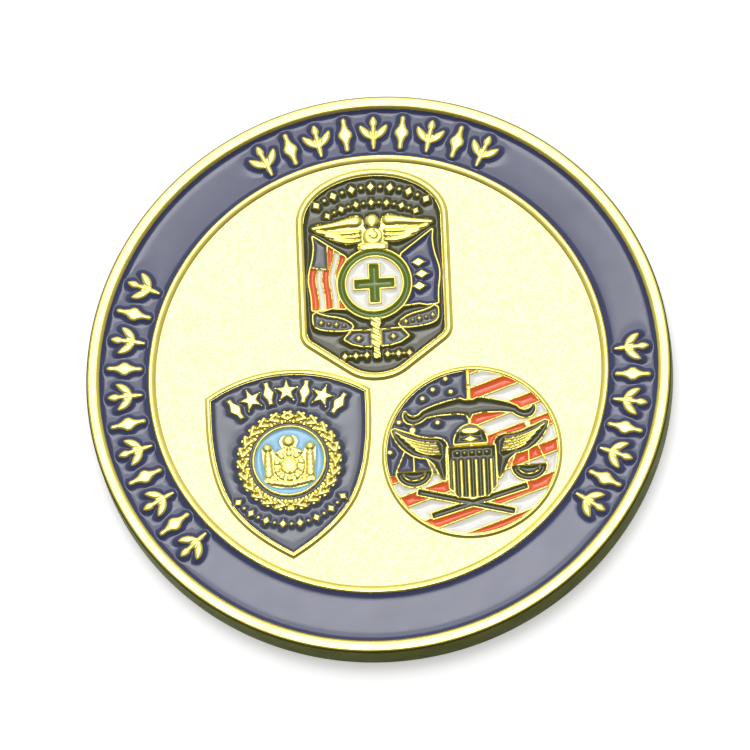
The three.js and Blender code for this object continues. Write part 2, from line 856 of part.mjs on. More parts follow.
function blank() {
  return turned([
    [0, REVERSE_FIELD],
    [RING_INNER, REVERSE_FIELD],
    [RING_INNER + REVERSE_SLOPE, REVERSE_RING],
    [RING_OUTER, REVERSE_RING],
    [RING_OUTER, REVERSE_FLOOR],
    [RIM_INNER, REVERSE_FLOOR],
    [RIM_INNER, 0],
    [COIN_RADIUS - SHOULDER, 0],
    [COIN_RADIUS, SHOULDER],
    [COIN_RADIUS, RIM_TOP - SHOULDER],
    [COIN_RADIUS - SHOULDER, RIM_TOP],
    [RIM_INNER, RIM_TOP],
    [RIM_INNER, CELL_FLOOR],
    [RING_OUTER, CELL_FLOOR],
    [RING_OUTER, RING_TOP],
    [RING_INNER + RING_SLOPE, RING_TOP],
    [RING_INNER, FIELD_TOP],
    [0, FIELD_TOP],
  ]);
}

function crestPlates() {
  const plates = [
    grow(badgeOutline, BADGE_BORDER),
    grow(shieldOutline, SHIELD_BORDER),
    circle(ROUND.x, ROUND.y, ROUND.outer, 44),
  ];
  return plates.map((outline) => prism(outline, FIELD_TOP - PLATE_SINK, LINE_TOP));
}

function struckBody(cells) {
  const raised = [
    ...bandOrnaments.map((motif) => prism(motif, CELL_FLOOR - PLATE_SINK, LINE_TOP)),
    ...crestPlates(),
    ...reverseRelief(),
  ];
  const whole = raised.reduce((body, relief) => body.add(relief), blank());
  return cells.reduce((body, { pocket }) => body.subtract(pocket), whole);
}

// ---------------------------------------------------------------- the assembly

function meshOf(made, name, colour, roughness, metalness) {
  const { vertProperties, triVerts } = made.getMesh();
  const geometry = new THREE.BufferGeometry();
  geometry.setAttribute("position", new THREE.BufferAttribute(vertProperties, 3));
  geometry.setIndex(new THREE.BufferAttribute(triVerts, 1));
  geometry.computeVertexNormals();
  const finish = new THREE.MeshStandardMaterial({ color: colour, roughness, metalness });
  const mesh = new THREE.Mesh(geometry, finish);
  mesh.name = name;
  return mesh;
}

const enamelMesh = (made, name, colour) => meshOf(made, `${name}_enamel`, colour, 0.25, 0);

// One mesh for each opening of a cell; a cell with several openings numbers them.
function cellMeshes(cells) {
  return cells.flatMap((cell) => {
    const filled = openings(cell);
    return filled.map(({ pocket, fill }, i) => {
      const name = filled.length > 1 ? `${cell.name}_part_${i + 1}` : cell.name;
      return { pocket, mesh: enamelMesh(fill, name, cell.colour) };
    });
  });
}

const filled = cellMeshes([...badgeCells(), ...shieldCells(), ...roundCells()]);

const coin = new THREE.Group();
coin.name = "challenge_coin";
coin.add(meshOf(struckBody(filled), "struck_body", 0xe3cf74, 0.35, 1));
coin.add(enamelMesh(bandEnamel(), "band", SLATE));
coin.add(enamelMesh(reverseEnamel(), "reverse_band", SLATE));
filled.forEach(({ mesh }) => coin.add(mesh));

export default coin;
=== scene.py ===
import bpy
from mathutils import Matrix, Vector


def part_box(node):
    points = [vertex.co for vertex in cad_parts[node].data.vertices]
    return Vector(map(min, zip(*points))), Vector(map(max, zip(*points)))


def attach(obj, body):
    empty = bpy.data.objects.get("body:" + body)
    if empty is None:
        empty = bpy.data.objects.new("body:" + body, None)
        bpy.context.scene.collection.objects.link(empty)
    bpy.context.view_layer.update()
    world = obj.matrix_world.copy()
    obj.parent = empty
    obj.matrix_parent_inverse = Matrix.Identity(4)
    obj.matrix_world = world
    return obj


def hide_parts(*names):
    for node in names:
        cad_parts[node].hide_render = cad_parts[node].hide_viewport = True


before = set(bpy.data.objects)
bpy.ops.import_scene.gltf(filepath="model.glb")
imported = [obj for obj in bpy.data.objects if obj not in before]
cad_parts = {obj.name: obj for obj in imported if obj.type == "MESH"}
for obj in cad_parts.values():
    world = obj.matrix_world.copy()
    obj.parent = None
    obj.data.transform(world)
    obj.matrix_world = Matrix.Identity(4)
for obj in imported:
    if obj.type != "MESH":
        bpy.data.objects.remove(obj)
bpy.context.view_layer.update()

# Challenge coin: the struck, gold-plated body and the enamel fills, drawn in millimetres and scaled
# to metres as each mesh is made. The coin lies on its reverse: +Z is the obverse, +Y the top of the
# design. An area of a face is a Region, a signed distance to its edge, and becomes a triangulated
# sheet whose height follows that distance.
from concurrent.futures import ThreadPoolExecutor
from math import asin, cos, hypot, pi, radians, sin

import bpy
import numpy as np
from mathutils import Matrix, Vector
from mathutils.geometry import delaunay_2d_cdt

MM = 0.001
FILL_GAP = 0.02    # clearance of a CAD enamel fill to the metal round it
COIN_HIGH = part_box("struck_body")[1]
COIN_RADIUS = COIN_HIGH[0] / MM
RIM_TOP = COIN_HIGH[2] / MM
BAND_LOW, BAND_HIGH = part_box("band_enamel")
RIM_INNER = BAND_HIGH[0] / MM + FILL_GAP
ENAMEL_TOP = BAND_HIGH[2] / MM
CELL_FLOOR = BAND_LOW[2] / MM - FILL_GAP

RING_OUTER = 20.0
RING_INNER = 19.3
RING_TOP = RIM_TOP - 0.1
LINE_TOP = RIM_TOP - 0.12
FIELD_TOP = RIM_TOP - 0.26
SUNK = CELL_FLOOR - 0.05    # underside of every relief shell, inside the blank

# ---------------- regions

POOL = ThreadPoolExecutor(4)
CHUNK = 40_000    # point and side pairs worked out at a time


class Region:
    """An area of a face: distance(points) is negative inside, and low and high enclose it."""

    def __init__(self, distance, low, high):
        self.distance = distance
        self.low = np.array(low, float)
        self.high = np.array(high, float)
        self.span = hypot(*(self.high - self.low))

    def gap(self, points):
        """How far each point is outside the box."""
        beyond = np.maximum(np.maximum(self.low - points, points - self.high), 0)
        return np.hypot(beyond[:, 0], beyond[:, 1])


def disc(x, y, radius):
    def distance(points):
        return np.hypot(points[:, 0] - x, points[:, 1] - y) - radius

    return Region(distance, (x - radius, y - radius), (x + radius, y + radius))


def polygon(corners):
    start = np.asarray(corners, float)
    along = np.roll(start, -1, axis=0) - start
    start_x, start_y, along_x, along_y = *start.T, *along.T
    length2 = np.maximum(along_x ** 2 + along_y ** 2, 1e-12)
    level = np.where(along_y == 0, 1, along_y)

    def chunk_distance(points):
        x, y = points[:, :1] - start_x, points[:, 1:] - start_y
        share = np.clip((x * along_x + y * along_y) / length2, 0, 1)
        nearest = np.sqrt(((x - share * along_x) ** 2 + (y - share * along_y) ** 2).min(axis=1))
        crossed = ((y < 0) != (y < along_y)) & (x < along_x * y / level)
        return np.where(crossed.sum(axis=1) % 2 == 1, -nearest, nearest)

    def distance(points):
        if len(points) == 0:
            return np.empty(0)
        chunks = np.array_split(points, 1 + len(points) * len(start) // CHUNK)
        return np.concatenate(list(POOL.map(chunk_distance, chunks)))

    return Region(distance, start.min(axis=0), start.max(axis=0))


def union(regions):
    def distance(points):
        gaps = [region.gap(points) for region in regions]
        bound = np.min([gap + region.span for gap, region in zip(gaps, regions)], axis=0)
        best = np.full(len(points), np.inf)
        for gap, region in zip(gaps, regions):
            near = np.flatnonzero((gap <= bound) & ((gap < best) | (gap == 0)))
            if len(near):
                best[near] = np.minimum(best[near], region.distance(points[near]))
        return best

    return Region(
        distance,
        np.min([region.low for region in regions], axis=0),
        np.max([region.high for region in regions], axis=0),
    )


def cut(region, *holes):
    """The region without the holes."""
    if not holes:
        return region
    hole = union(holes)

    def distance(points):
        return np.maximum(region.distance(points), -hole.distance(points))

    return Region(distance, region.low, region.high)


def both(first, second):
    def distance(points):
        return np.maximum(first.distance(points), second.distance(points))

    return Region(distance, np.maximum(first.low, second.low), np.minimum(first.high, second.high))


def grown(region, by):
    return Region(lambda points: region.distance(points) - by, region.low - by, region.high + by)


# ---------------- outlines


def around(x, y, radius, turn):
    """The point on a circle at a turn in degrees, clockwise from +Y."""
    return x + radius * sin(radians(turn)), y + radius * cos(radians(turn))


def circle(x, y, radius, count=96):
    turn = np.linspace(0, 2 * pi, count, endpoint=False)
    return np.c_[x + radius * np.cos(turn), y + radius * np.sin(turn)]


def arc(x, y, radius, start, stop, count=24, height=None):
    turn = np.radians(np.linspace(start, stop, count))
    return np.c_[x + radius * np.cos(turn), y + (height or radius) * np.sin(turn)]


def curve(start, bend, stop, count=10):
    share = np.linspace(0, 1, count)[:, None]
    start, bend, stop = (np.array(p, float) for p in (start, bend, stop))
    return (1 - share) ** 2 * start + 2 * share * (1 - share) * bend + share ** 2 * stop


def rounded(corners, cuts=2):
    """The outline with its corners cut again and again until they are round."""
    shape = np.asarray(corners, float)
    for _ in range(cuts):
        after = np.roll(shape, -1, axis=0)
        shape = np.stack([0.75 * shape + 0.25 * after, 0.25 * shape + 0.75 * after], axis=1)
        shape = shape.reshape(-1, 2)
    return shape


def place(corners, x, y, degrees=0):
    """The outline turned clockwise about the origin, then moved."""
    turn = radians(degrees)
    p = np.asarray(corners, float)
    return np.c_[
        x + p[:, 0] * cos(turn) + p[:, 1] * sin(turn),
        y - p[:, 0] * sin(turn) + p[:, 1] * cos(turn),
    ]


def mirrored(corners, axis=0):
    p = np.asarray(corners, float)
    return np.c_[2 * axis - p[:, 0], p[:, 1]][::-1]


def both_sides(half, axis=0):
    right = np.asarray(half, float) + (axis, 0)
    left = mirrored(right[np.abs(right[:, 0] - axis) > 1e-6], axis)
    return np.concatenate([right, left])


def bar(width, height):
    return np.array([(-1, -1), (1, -1), (1, 1), (-1, 1)]) * (width / 2, height / 2)


def lozenge(width, height):
    return np.array([(0, -1), (1, 0), (0, 1), (-1, 0)]) * (width / 2, height / 2)


def star(radius):
    turn = np.radians(np.arange(10) * 36)
    reach = np.where(np.arange(10) % 2, 0.42 * radius, radius)
    return np.c_[-reach * np.sin(turn), reach * np.cos(turn)]


def segment(a, b, width):
    """A band of constant width between two points, with round ends."""
    a, b = np.array(a, float), np.array(b, float)
    along = b - a

    def distance(points):
        share = np.clip((points - a) @ along / (along @ along), 0, 1)
        return np.hypot(*(points - a - share[:, None] * along).T) - width / 2

    return Region(distance, np.minimum(a, b) - width / 2, np.maximum(a, b) + width / 2)


def path(corners, width):
    return union([segment(a, b, width) for a, b in zip(corners[:-1], corners[1:])])


def mark(index, height):
    """Lozenges and dots by turns."""
    if index % 2:
        return circle(0, 0, height * 0.2, 12)
    return lozenge(height * 0.85, height)


def mark_arc(x, y, radius, start, stop, count, height):
    """Marks along an arc, between two turns in degrees clockwise from +Y."""
    turns = np.linspace(start, stop, count)
    return [place(mark(i, height), *around(x, y, radius, t), t) for i, t in enumerate(turns)]


def mark_line(start, stop, count, height):
    centres = np.linspace(start, stop, count)
    return [place(mark(i, height), *centre) for i, centre in enumerate(centres)]


# ---------------- sheets


def lattice(low, high, step):
    """Points in rows of equal triangles over a box."""
    columns = np.arange(low[0], high[0] + step, step)
    rows = np.arange(low[1], high[1] + step, step * sin(pi / 3))
    x, y = np.meshgrid(columns, rows)
    x[1::2] += step / 2
    return np.c_[x.ravel(), y.ravel()]


def snapped(region, points, step):
    """The points moved on to the region's edge, less those that crowd each other."""
    reach = step * 0.05
    here = region.distance(points)
    slope = np.c_[
        region.distance(points + (reach, 0)) - here,
        region.distance(points + (0, reach)) - here,
    ] / reach
    slope /= np.maximum((slope ** 2).sum(axis=1), 0.25)[:, None]
    points = points - slope * here[:, None]
    points = points - slope * region.distance(points)[:, None]
    points = points[np.abs(region.distance(points)) < step * 0.15]
    _, first = np.unique(np.round(points / (step * 0.4)).astype(int), axis=0, return_index=True)
    return points[np.sort(first)]


def triangulated(region, step, wide, margin):
    """Points and triangles over the region: `step` apart near its edge, `wide` further inside."""
    points = lattice(region.low - step, region.high + step, step)
    distance = region.distance(points)
    edge = snapped(region, points[np.abs(distance) < 0.6 * step], step)
    fine = points[(distance <= -0.6 * step) & (distance > -margin)]
    coarse = lattice(region.low, region.high, wide)
    coarse = coarse[region.distance(coarse) <= -margin]
    points = np.concatenate([edge, fine, coarse])
    if len(points) < 3:
        return np.empty((0, 2)), np.empty((0, 3), int)
    made, _, faces, *_ = delaunay_2d_cdt([Vector(p) for p in points], [], [], 0, 1e-6)
    points = np.array([tuple(p) for p in made])
    faces = np.array([f for f in faces if len(f) == 3])
    keep = region.distance(points[faces].mean(axis=1)) < -0.02 * step
    return points, faces[keep]


def rim_edges(faces):
    """The directed edges that belong to one face only."""
    directed = np.concatenate([faces[:, [0, 1]], faces[:, [1, 2]], faces[:, [2, 0]]])
    low, high = directed.min(axis=1), directed.max(axis=1)
    code = low.astype(np.int64) * (directed.max() + 1) + high
    _, inverse, count = np.unique(code, return_inverse=True, return_counts=True)
    return directed[count[inverse] == 1]


def compact(points, faces):
    used, renumbered = np.unique(faces, return_inverse=True)
    return points[used], renumbered.reshape(faces.shape)


def islands(count, faces):
    """A label for each face: faces that share a point have the same one."""
    label = np.arange(count)
    while True:
        lowest = label[faces].min(axis=1)
        before = label.copy()
        for corner in range(3):
            np.minimum.at(label, faces[:, corner], lowest)
        label = label[label]
        if (label == before).all():
            return label[faces[:, 0]]


class Shells:
    """Gathers closed shells for one object: points in millimetres, faces and their finishes."""

    def __init__(self):
        self.points, self.faces, self.finishes, self.count = [], [], [], 0

    def add(self, points, faces, finish=0):
        self.points.append(np.asarray(points, float))
        self.faces += [tuple(int(i) + self.count for i in face) for face in faces]
        self.finishes += [finish] * len(faces)
        self.count += len(points)

    def add_relief(self, points, faces, heights, foot, finish=0):
        """A sheet at the given heights, with walls down to a flat underside."""
        count = len(points)
        top = np.c_[points, heights]
        edges = rim_edges(faces)
        used = np.unique(edges)
        below = np.full(count, -1)
        below[used] = count + np.arange(len(used))
        base = np.c_[points[used], np.full(len(used), foot)]
        walls = [(b, a, below[a], below[b]) for a, b in edges]
        self.add(np.concatenate([top, base]), [*faces, *walls, *cap(points, edges, below)], finish)

    def make(self, name, materials):
        mesh = bpy.data.meshes.new(name)
        mesh.from_pydata((np.concatenate(self.points) * MM).tolist(), [], self.faces)
        mesh.polygons.foreach_set("material_index", self.finishes)
        mesh.polygons.foreach_set("use_smooth", [True] * len(mesh.polygons))
        mesh.set_sharp_from_angle(angle=radians(70))
        mesh.update()
        for made in materials:
            mesh.materials.append(made)
        piece = bpy.data.objects.new(name, mesh)
        bpy.context.scene.collection.objects.link(piece)
        return piece


FACES_OF_CLOSED_RIMS = 4    # the triangulation's option that leaves holes open


def cap(points, edges, below):
    """Triangles that close the underside within the given edges."""
    used = np.unique(edges)
    local = {int(v): i for i, v in enumerate(used)}
    rim = [(local[int(a)], local[int(b)]) for a, b in edges]
    at = [Vector(points[v]) for v in used]
    _, _, faces, sources, *_ = delaunay_2d_cdt(at, rim, [], FACES_OF_CLOSED_RIMS, 1e-7)
    source = [int(used[ids[0]]) if ids else -1 for ids in sources]
    result = []
    for face in faces:
        corners = [source[i] for i in face]
        if -1 not in corners and len(corners) == 3:
            result.append(tuple(int(below[i]) for i in reversed(corners)))
    return result


def round_edge(depth, radius):
    """How far a rounded edge lies below the top, at a depth inside the outline."""
    share = np.clip(1 - depth / radius, 0, 1)
    return radius * (1 - np.sqrt(1 - share ** 2 * 0.98))


def lobe(points, a, b, width_a, width_b, height):
    """The height of a rounded bar from a to b above its base."""
    a, b = np.array(a, float), np.array(b, float)
    along = b - a
    share = np.clip((points - a) @ along / max(along @ along, 1e-9), 0, 1)
    radius = (width_a + (width_b - width_a) * share) / 2
    off = np.hypot(*(points - a - share[:, None] * along).T)
    return height * np.sqrt(np.clip(1 - (off / radius) ** 2, 0, 1))


# ---------------- enamel cells

CELLS = []    # (family of CAD nodes, material slot, region, rise and reach of the meniscus)
MENISCUS = (0.17, 0.26)
DEEP = (0.17, 0.42)    # a narrow cell that is curved all the way across
SHALLOW = (0.1, 0.12)
ENAMEL_LEVEL = ENAMEL_TOP - 0.08
TUCK = 0.03    # how far an enamel sheet runs on into the metal round it
LINE_EXTRA = 0.02    # how far the plating rounds out over the edge of each cell


def cell(family, slot, region, meniscus=MENISCUS):
    CELLS.append((family, slot, grown(region, -LINE_EXTRA), meniscus))


# ---------------- the band and its ornaments

ORNAMENT_RADIUS = 22.08
ORNAMENT_HEIGHT = 3.2
ORNAMENT_RUNS = [(-24.5, 26.8, 9), (87.8, 126.0, 7), (-131.4, -65.6, 11)]    # turns and count


def sprig(height):
    stem = both_sides([(0.27, -height / 2), (0.27, 0.9), (0, height / 2)])
    leaf = rounded([(0, -0.75), (0.75, -0.55), (1.28, 0.1), (1.3, 0.85), (0.7, 0.55), (0.2, 0.1)])
    bud = rounded([(0, 0.2), (0.5, 0.85), (0, height / 2 + 0.15), (-0.5, 0.85)])
    return [rounded(stem, 1), leaf, mirrored(leaf), bud]


def spear(height):
    half = [(0.27, -height / 2), (0.25, -0.75), (0.78, 0), (0.25, 0.75), (0.27, height / 2)]
    return [rounded(both_sides(half), 1)]


def ornaments():
    placed = []
    for start, stop, count in ORNAMENT_RUNS:
        for i, turn in enumerate(np.linspace(start, stop, count)):
            parts = spear(ORNAMENT_HEIGHT) if i % 2 else sprig(ORNAMENT_HEIGHT)
            at = around(0, 0, ORNAMENT_RADIUS, turn)
            placed.append(union([polygon(place(part, *at, turn)) for part in parts]))
    return placed


# ---------------- the badge crest

BADGE_HALF_WIDTH = 6.0
BADGE_ARCH_Y = 14.0
BADGE_FOOT_Y = -0.05
THIN_LINE = 0.15
PENNANT_LINE = 0.1
PENNANT_PITCH = 0.575
ROUNDEL = (0, 8.15)
ROUNDEL_RADII = dict(line=3.32, ring=3.16, ring_inner=2.6, disc=2.43)
CROSS_REACH, CROSS_HALF_WIDTH = 1.87, 0.55


def badge_outline():
    half = BADGE_HALF_WIDTH
    return np.concatenate([
        arc(0, BADGE_ARCH_Y, half, 0, 180, 60, height=4.1),
        curve((-half, 3.9), (-half, 3.4), (-5.5, 3.05)),
        curve((-2.2, 0.62), (-1.3, BADGE_FOOT_Y), (0, BADGE_FOOT_Y)),
        curve((0, BADGE_FOOT_Y), (1.3, BADGE_FOOT_Y), (2.2, 0.62))[1:],
        curve((5.5, 3.05), (half, 3.4), (half, 3.9)),
    ])


def badge_wings():
    half = [
        (0, 13.3), (0.75, 13.2), (0.7, 14.1), (1.2, 14.5), (1.95, 14.45), (3.0, 14.05), (5.1, 13.85),
        (5.4, 13.5), (4.9, 13.1), (4.2, 12.8), (3.7, 12.4), (2.7, 11.95), (1.8, 11.8),
        (1.25, 12.05), (1.4, 11.2), (0, 11.2),
    ]
    return union([polygon(rounded(both_sides(half))), disc(0, 13.95, 0.58)])


PENNANT_EDGE = [
    (5.2, 12.75), (5.08, 11.9), (5.25, 10.6), (5.6, 9.5), (5.68, 8.6), (5.45, 7.2), (5.45, 6.05),
]


def smooth_line(corners, cuts=2):
    """An open line with its inner corners rounded off."""
    line = np.asarray(corners, float)
    for _ in range(cuts):
        before, after = line[:-1], line[1:]
        inner = np.stack([0.75 * before + 0.25 * after, 0.25 * before + 0.75 * after], axis=1)
        line = np.concatenate([line[:1], inner.reshape(-1, 2)[1:-1], line[-1:]])
    return line


def pennant():
    hem = [(4.5, 5.98), (3.8, 6.15), (2.4, 6.0), (1.5, 8), (2.5, 10.75)]
    return np.concatenate([smooth_line(PENNANT_EDGE), hem])


def pennant_strip(near, far):
    """A stripe between two distances from the pennant's waving edge."""
    edge = smooth_line([(5.2, 13.5), *PENNANT_EDGE, (5.45, 5.5)])
    outer, inner = edge * (-1, 1) + (near, 0), edge * (-1, 1) + (far, 0)
    return polygon(np.concatenate([outer, inner[::-1]]))


def scroll_fold():
    return rounded([
        (5.38, 5.85), (4.5, 5.42), (2.9, 5.08), (1.95, 4.42), (2.3, 4.0), (4.1, 4.1), (5.15, 4.38),
        (5.42, 4.85),
    ], 1)


def scroll_middle():
    return [(0.5, 3.85), (2.15, 3.9), (2.75, 3.2), (2.1, 2.75), (1.2, 2.5), (0.5, 2.48)]


def staff():
    return both_sides([
        (0.2, 1.3), (0.32, 1.7), (0.15, 2.1), (0.42, 3.0), (0.2, 4.0), (0.5, 4.6), (0.25, 5.1),
        (0, 5.1),
    ])


def badge_marks():
    return (
        mark_arc(0, 8.29, 8.76, -33.2, 33.2, 13, 0.88)
        + mark_arc(0, 7.7, 7.9, -29.2, 29.2, 13, 0.74)
        + mark_line((-2.8, 1.62), (-0.9, 1.62), 5, 0.7)
        + mark_line((0.9, 1.62), (2.8, 1.62), 5, 0.7)
    )


def left_pennant_cells(pennant_area, roundel):
    canton = polygon([(-6.5, 10.2), (-4.05, 9.75), (-4.05, 14), (-6.5, 14)])
    cell("pennant_canton", "grey_enamel", cut(both(pennant_area, canton), roundel), SHALLOW)
    for i in range(5):
        near = PENNANT_PITCH * i + PENNANT_LINE / 2 if i else -1
        strip = pennant_strip(near, PENNANT_PITCH * (i + 1) - PENNANT_LINE / 2)
        stripe = cut(both(pennant_area, strip), roundel, grown(canton, PENNANT_LINE))
        slot = "white_enamel" if i % 2 else "red_enamel"
        cell(f"pennant_stripe_{i + 1}", slot, stripe, SHALLOW)


def right_pennant_cell(pennant_area, roundel):
    places = [(3.9, 9.85), (4.15, 8.75), (3.9, 7.65)]
    lozenges = [polygon(place(lozenge(1.25, 0.85), x, y)) for x, y in places]
    cell("pennant_blue", "slate_enamel", cut(pennant_area, roundel, *lozenges))


def roundel_cells():
    ring = cut(disc(*ROUNDEL, ROUNDEL_RADII["ring"]), disc(*ROUNDEL, ROUNDEL_RADII["ring_inner"]))
    cell("roundel_green_ring", "green_enamel", ring)
    length, width = 2 * CROSS_REACH, 2 * CROSS_HALF_WIDTH
    arms = [
        polygon(place(bar(width, length), *ROUNDEL)),
        polygon(place(bar(length, width), *ROUNDEL)),
    ]
    cell("roundel_white_disc", "white_enamel", cut(disc(*ROUNDEL, ROUNDEL_RADII["disc"]), *arms))
    cell("roundel_cross", "green_enamel", union([grown(arm, -THIN_LINE) for arm in arms]))


def scroll_cells(side, fold, middle, fold_marks, middle_mark):
    cell(f"scroll_fold_{side}", "grey_enamel", cut(fold, *map(polygon, fold_marks)), SHALLOW)
    cell(f"scroll_middle_{side}", "grey_enamel", cut(middle, polygon(middle_mark)), SHALLOW)


def badge_cells(outline):
    roundel = disc(*ROUNDEL, ROUNDEL_RADII["line"])
    right, left = polygon(pennant()), polygon(mirrored(pennant()))
    folds = [polygon(scroll_fold()), polygon(mirrored(scroll_fold()))]
    middles = [polygon(scroll_middle()), polygon(mirrored(scroll_middle()))]
    cell("badge_ground", "black_enamel", cut(
        outline,
        *[grown(area, THIN_LINE) for area in (right, left, *folds, *middles)],
        roundel, badge_wings(), polygon(rounded(staff(), 1)), *map(polygon, badge_marks()),
    ))
    left_pennant_cells(left, roundel)
    right_pennant_cell(right, roundel)
    roundel_cells()
    right_marks = mark_line((2.6, 4.5), (4.95, 4.95), 5, 0.48)
    left_marks = mark_line((-4.75, 4.85), (-2.8, 4.5), 4, 0.48)
    scroll_cells("right", folds[0], middles[0], right_marks, place(mark(0, 0.6), 1.45, 3.22))
    scroll_cells("left", folds[1], middles[1], left_marks, place(mark(0, 0.6), -1.55, 3.22))


# ---------------- the shield crest

SHIELD_AXIS = -7.92
SHIELD_HALF_WIDTH = 6.73
SEAL = (-8.0, -7.5)
SEAL_RING, SEAL_DISC = 3.2, 3.02    # outer and inner radius of the gold ring round the seal
WREATH_INNER, WREATH_RADIUS, WREATH_LINKS = 3.5, 4.05, 24
TOP_ROW_CENTRE, TOP_ROW_RADIUS, TOP_ROW_TURN = (-8.0, -9.1), 7.93, 34.5


def shield_outline():
    top_y, shoulder_y, side_y, tip_y = 0.32, -1.65, -3.1, -15.88
    half = SHIELD_HALF_WIDTH
    rise = top_y - shoulder_y
    top_radius = (half ** 2 + rise ** 2) / (2 * rise)
    top_turn = np.degrees(asin(half / top_radius))
    bend = (5.45, -10.6)
    side = np.concatenate([
        curve((0, tip_y), (4.15, -13.4), bend, 30),
        curve(bend, (6.75, -7.8), (half, side_y), 30)[1:],
        [(half, shoulder_y)],
    ])
    top = arc(SHIELD_AXIS, top_y - top_radius, top_radius, 90 - top_turn, 90 + top_turn, 50)
    right, left = side + (SHIELD_AXIS, 0), mirrored(side) + (SHIELD_AXIS, 0)
    return np.concatenate([right, top[1:-1], left[:-1]])


def wreath():
    turns = np.arange(WREATH_LINKS) * 360 / WREATH_LINKS
    links = [disc(*around(*SEAL, WREATH_RADIUS, turn), 0.58) for turn in turns]
    return union([*links, disc(*SEAL, WREATH_RADIUS + 0.1)])


def seal_emblem():
    """A boss between two short pillars, with an orb above it and a ribbon below."""
    half = [
        (0, -5.2), (0.6, -5.3), (0.8, -5.8), (0.5, -6.3), (1.1, -6.5), (1.4, -6.85), (1.4, -6.1),
        (1.85, -5.8), (2.3, -6.1), (2.3, -6.7), (2.1, -8.85), (2.25, -9.0), (2.1, -9.4),
        (1.2, -9.85), (0, -9.95),
    ]
    return polygon(rounded(both_sides(half, SEAL[0]), 1))


def shield_top_row():
    """Small spears and stars by turns."""
    small_spear = both_sides([(0.2, -1.05), (0.2, -0.6), (0.5, 0), (0.2, 0.6), (0.2, 1.05)])
    row = []
    for i, turn in enumerate(np.linspace(-TOP_ROW_TURN, TOP_ROW_TURN, 7)):
        motif = star(1.05) if i % 2 else small_spear
        at = around(*TOP_ROW_CENTRE, TOP_ROW_RADIUS, turn)
        row.append(polygon(place(motif, *at, turn)))
    return row


def shield_cells(outline):
    lower_marks = [polygon(corners) for corners in mark_arc(*SEAL, 5.75, 128, 232, 15, 0.8)]
    ground = cut(outline, wreath(), *shield_top_row(), *lower_marks)
    cell("shield_ground", "navy_enamel", ground)
    surround = cut(disc(*SEAL, WREATH_INNER), disc(*SEAL, SEAL_RING))
    cell("seal_surround", "grey_enamel", surround, SHALLOW)
    cell("seal_disc", "sky_enamel", cut(disc(*SEAL, SEAL_DISC), seal_emblem()), SHALLOW)


# ---------------- the round crest

ROUND = (7.83, -7.75)
ROUND_ENAMEL = 7.4
POST_X = 7.75
DEVICE_LINE = 0.14
FLAG_SLOPE, FLAG_RED, FLAG_LINE = 0.33, 0.98, 0.14
FLAG_X = 8.2    # where the heights of the stripes are measured
FLAG_TOPS = [0.47, -1.95, -4.37, -6.79, -9.35, -12.25, -14.8]    # top edge of each red stripe
FLAG_SPAN = (-2, 18)
CANTON_FOOT_Y = -9.5
PAN_OFFSET = 4.97
PAN_LIP_Y = -9.3
CORD_RING_Y = -5.5


def beam():
    half = [
        (0, -3.1), (0.5, -3.05), (0.75, -2.85), (2.4, -3.2), (4.0, -3.75), (4.4, -4.2), (4.9, -4.3),
        (5.35, -4.1), (5.6, -3.7), (5.75, -4.2), (5.5, -4.75), (4.9, -4.95), (4.2, -4.75),
        (3.6, -4.25), (0.3, -4.15), (0, -4.85),
    ]
    return polygon(rounded(both_sides(half, POST_X), 1))


def pan(side):
    x = POST_X + PAN_OFFSET * side
    return polygon(arc(x, PAN_LIP_Y, 1.5, 180, 360, 24, height=1.3))


def pan_glint(side):
    """A thin raised line that follows the bowl of the pan."""
    x = POST_X + PAN_OFFSET * side
    return path(arc(x, PAN_LIP_Y - 0.1, 0.95, 195, 345, 12, height=0.65), 0.1)


def crest_wing():
    return rounded([
        (9.75, -7.0), (10.3, -6.35), (11.8, -6.3), (13.2, -5.75), (14.6, -5.15), (14.3, -6.2),
        (13.6, -7.2), (12.6, -7.9), (11.2, -8.15), (10.3, -10.1), (10.0, -10.3), (10.0, -7.3),
    ], 1)


QUILL_WIDTH = 0.13
CREST_SHIELD = dict(axis=7.82, half=2.0, top=-7.3, chief=-8.45, side=-10.9, foot=-11.85)


def quills():
    """Five raised lines that fan out along the right wing."""
    lines = []
    for i in range(5):
        root_y = -6.75 - 0.27 * i
        tip = (14.2 - 0.42 * i, -5.6 - 0.42 * i)
        lines.append(curve((10.75 - 0.08 * i, root_y), (12.6 - 0.22 * i, root_y), tip, 8))
    return lines


def crest_shield():
    s = CREST_SHIELD
    half = s["half"]
    return polygon(both_sides([
        (0, s["top"]), (half, s["top"]), (half, s["side"]), (half * 0.65, s["foot"] + 0.1),
        (0, s["foot"]),
    ], s["axis"]))


def stave(side):
    return polygon(stave_corners((POST_X + 4.7 * side, -11.1), (POST_X - 3.55 * side, -13.35), 0.5))


def stave_corners(a, b, width):
    a, b = np.array(a), np.array(b)
    along = (b - a) / hypot(*(b - a))
    across = np.array([-along[1], along[0]]) * width / 2
    return [a + across, a - across, b - across, b + across]


def cords(side):
    """The ring under the beam's end and the three cords that hold a pan."""
    x = POST_X + PAN_OFFSET * side
    start = (x, CORD_RING_Y - 0.1)
    lines = [segment(start, (x + end, PAN_LIP_Y), FLAG_LINE) for end in (-1.6, 0, 1.6)]
    return [*lines, disc(x, CORD_RING_Y, 0.3)]


def flag_stripe(top, bottom):
    left, right = FLAG_SPAN
    left_rise, right_rise = (FLAG_SLOPE * (x - FLAG_X) for x in FLAG_SPAN)
    return polygon([
        (left, bottom + left_rise), (right, bottom + right_rise),
        (right, top + right_rise), (left, top + left_rise),
    ])


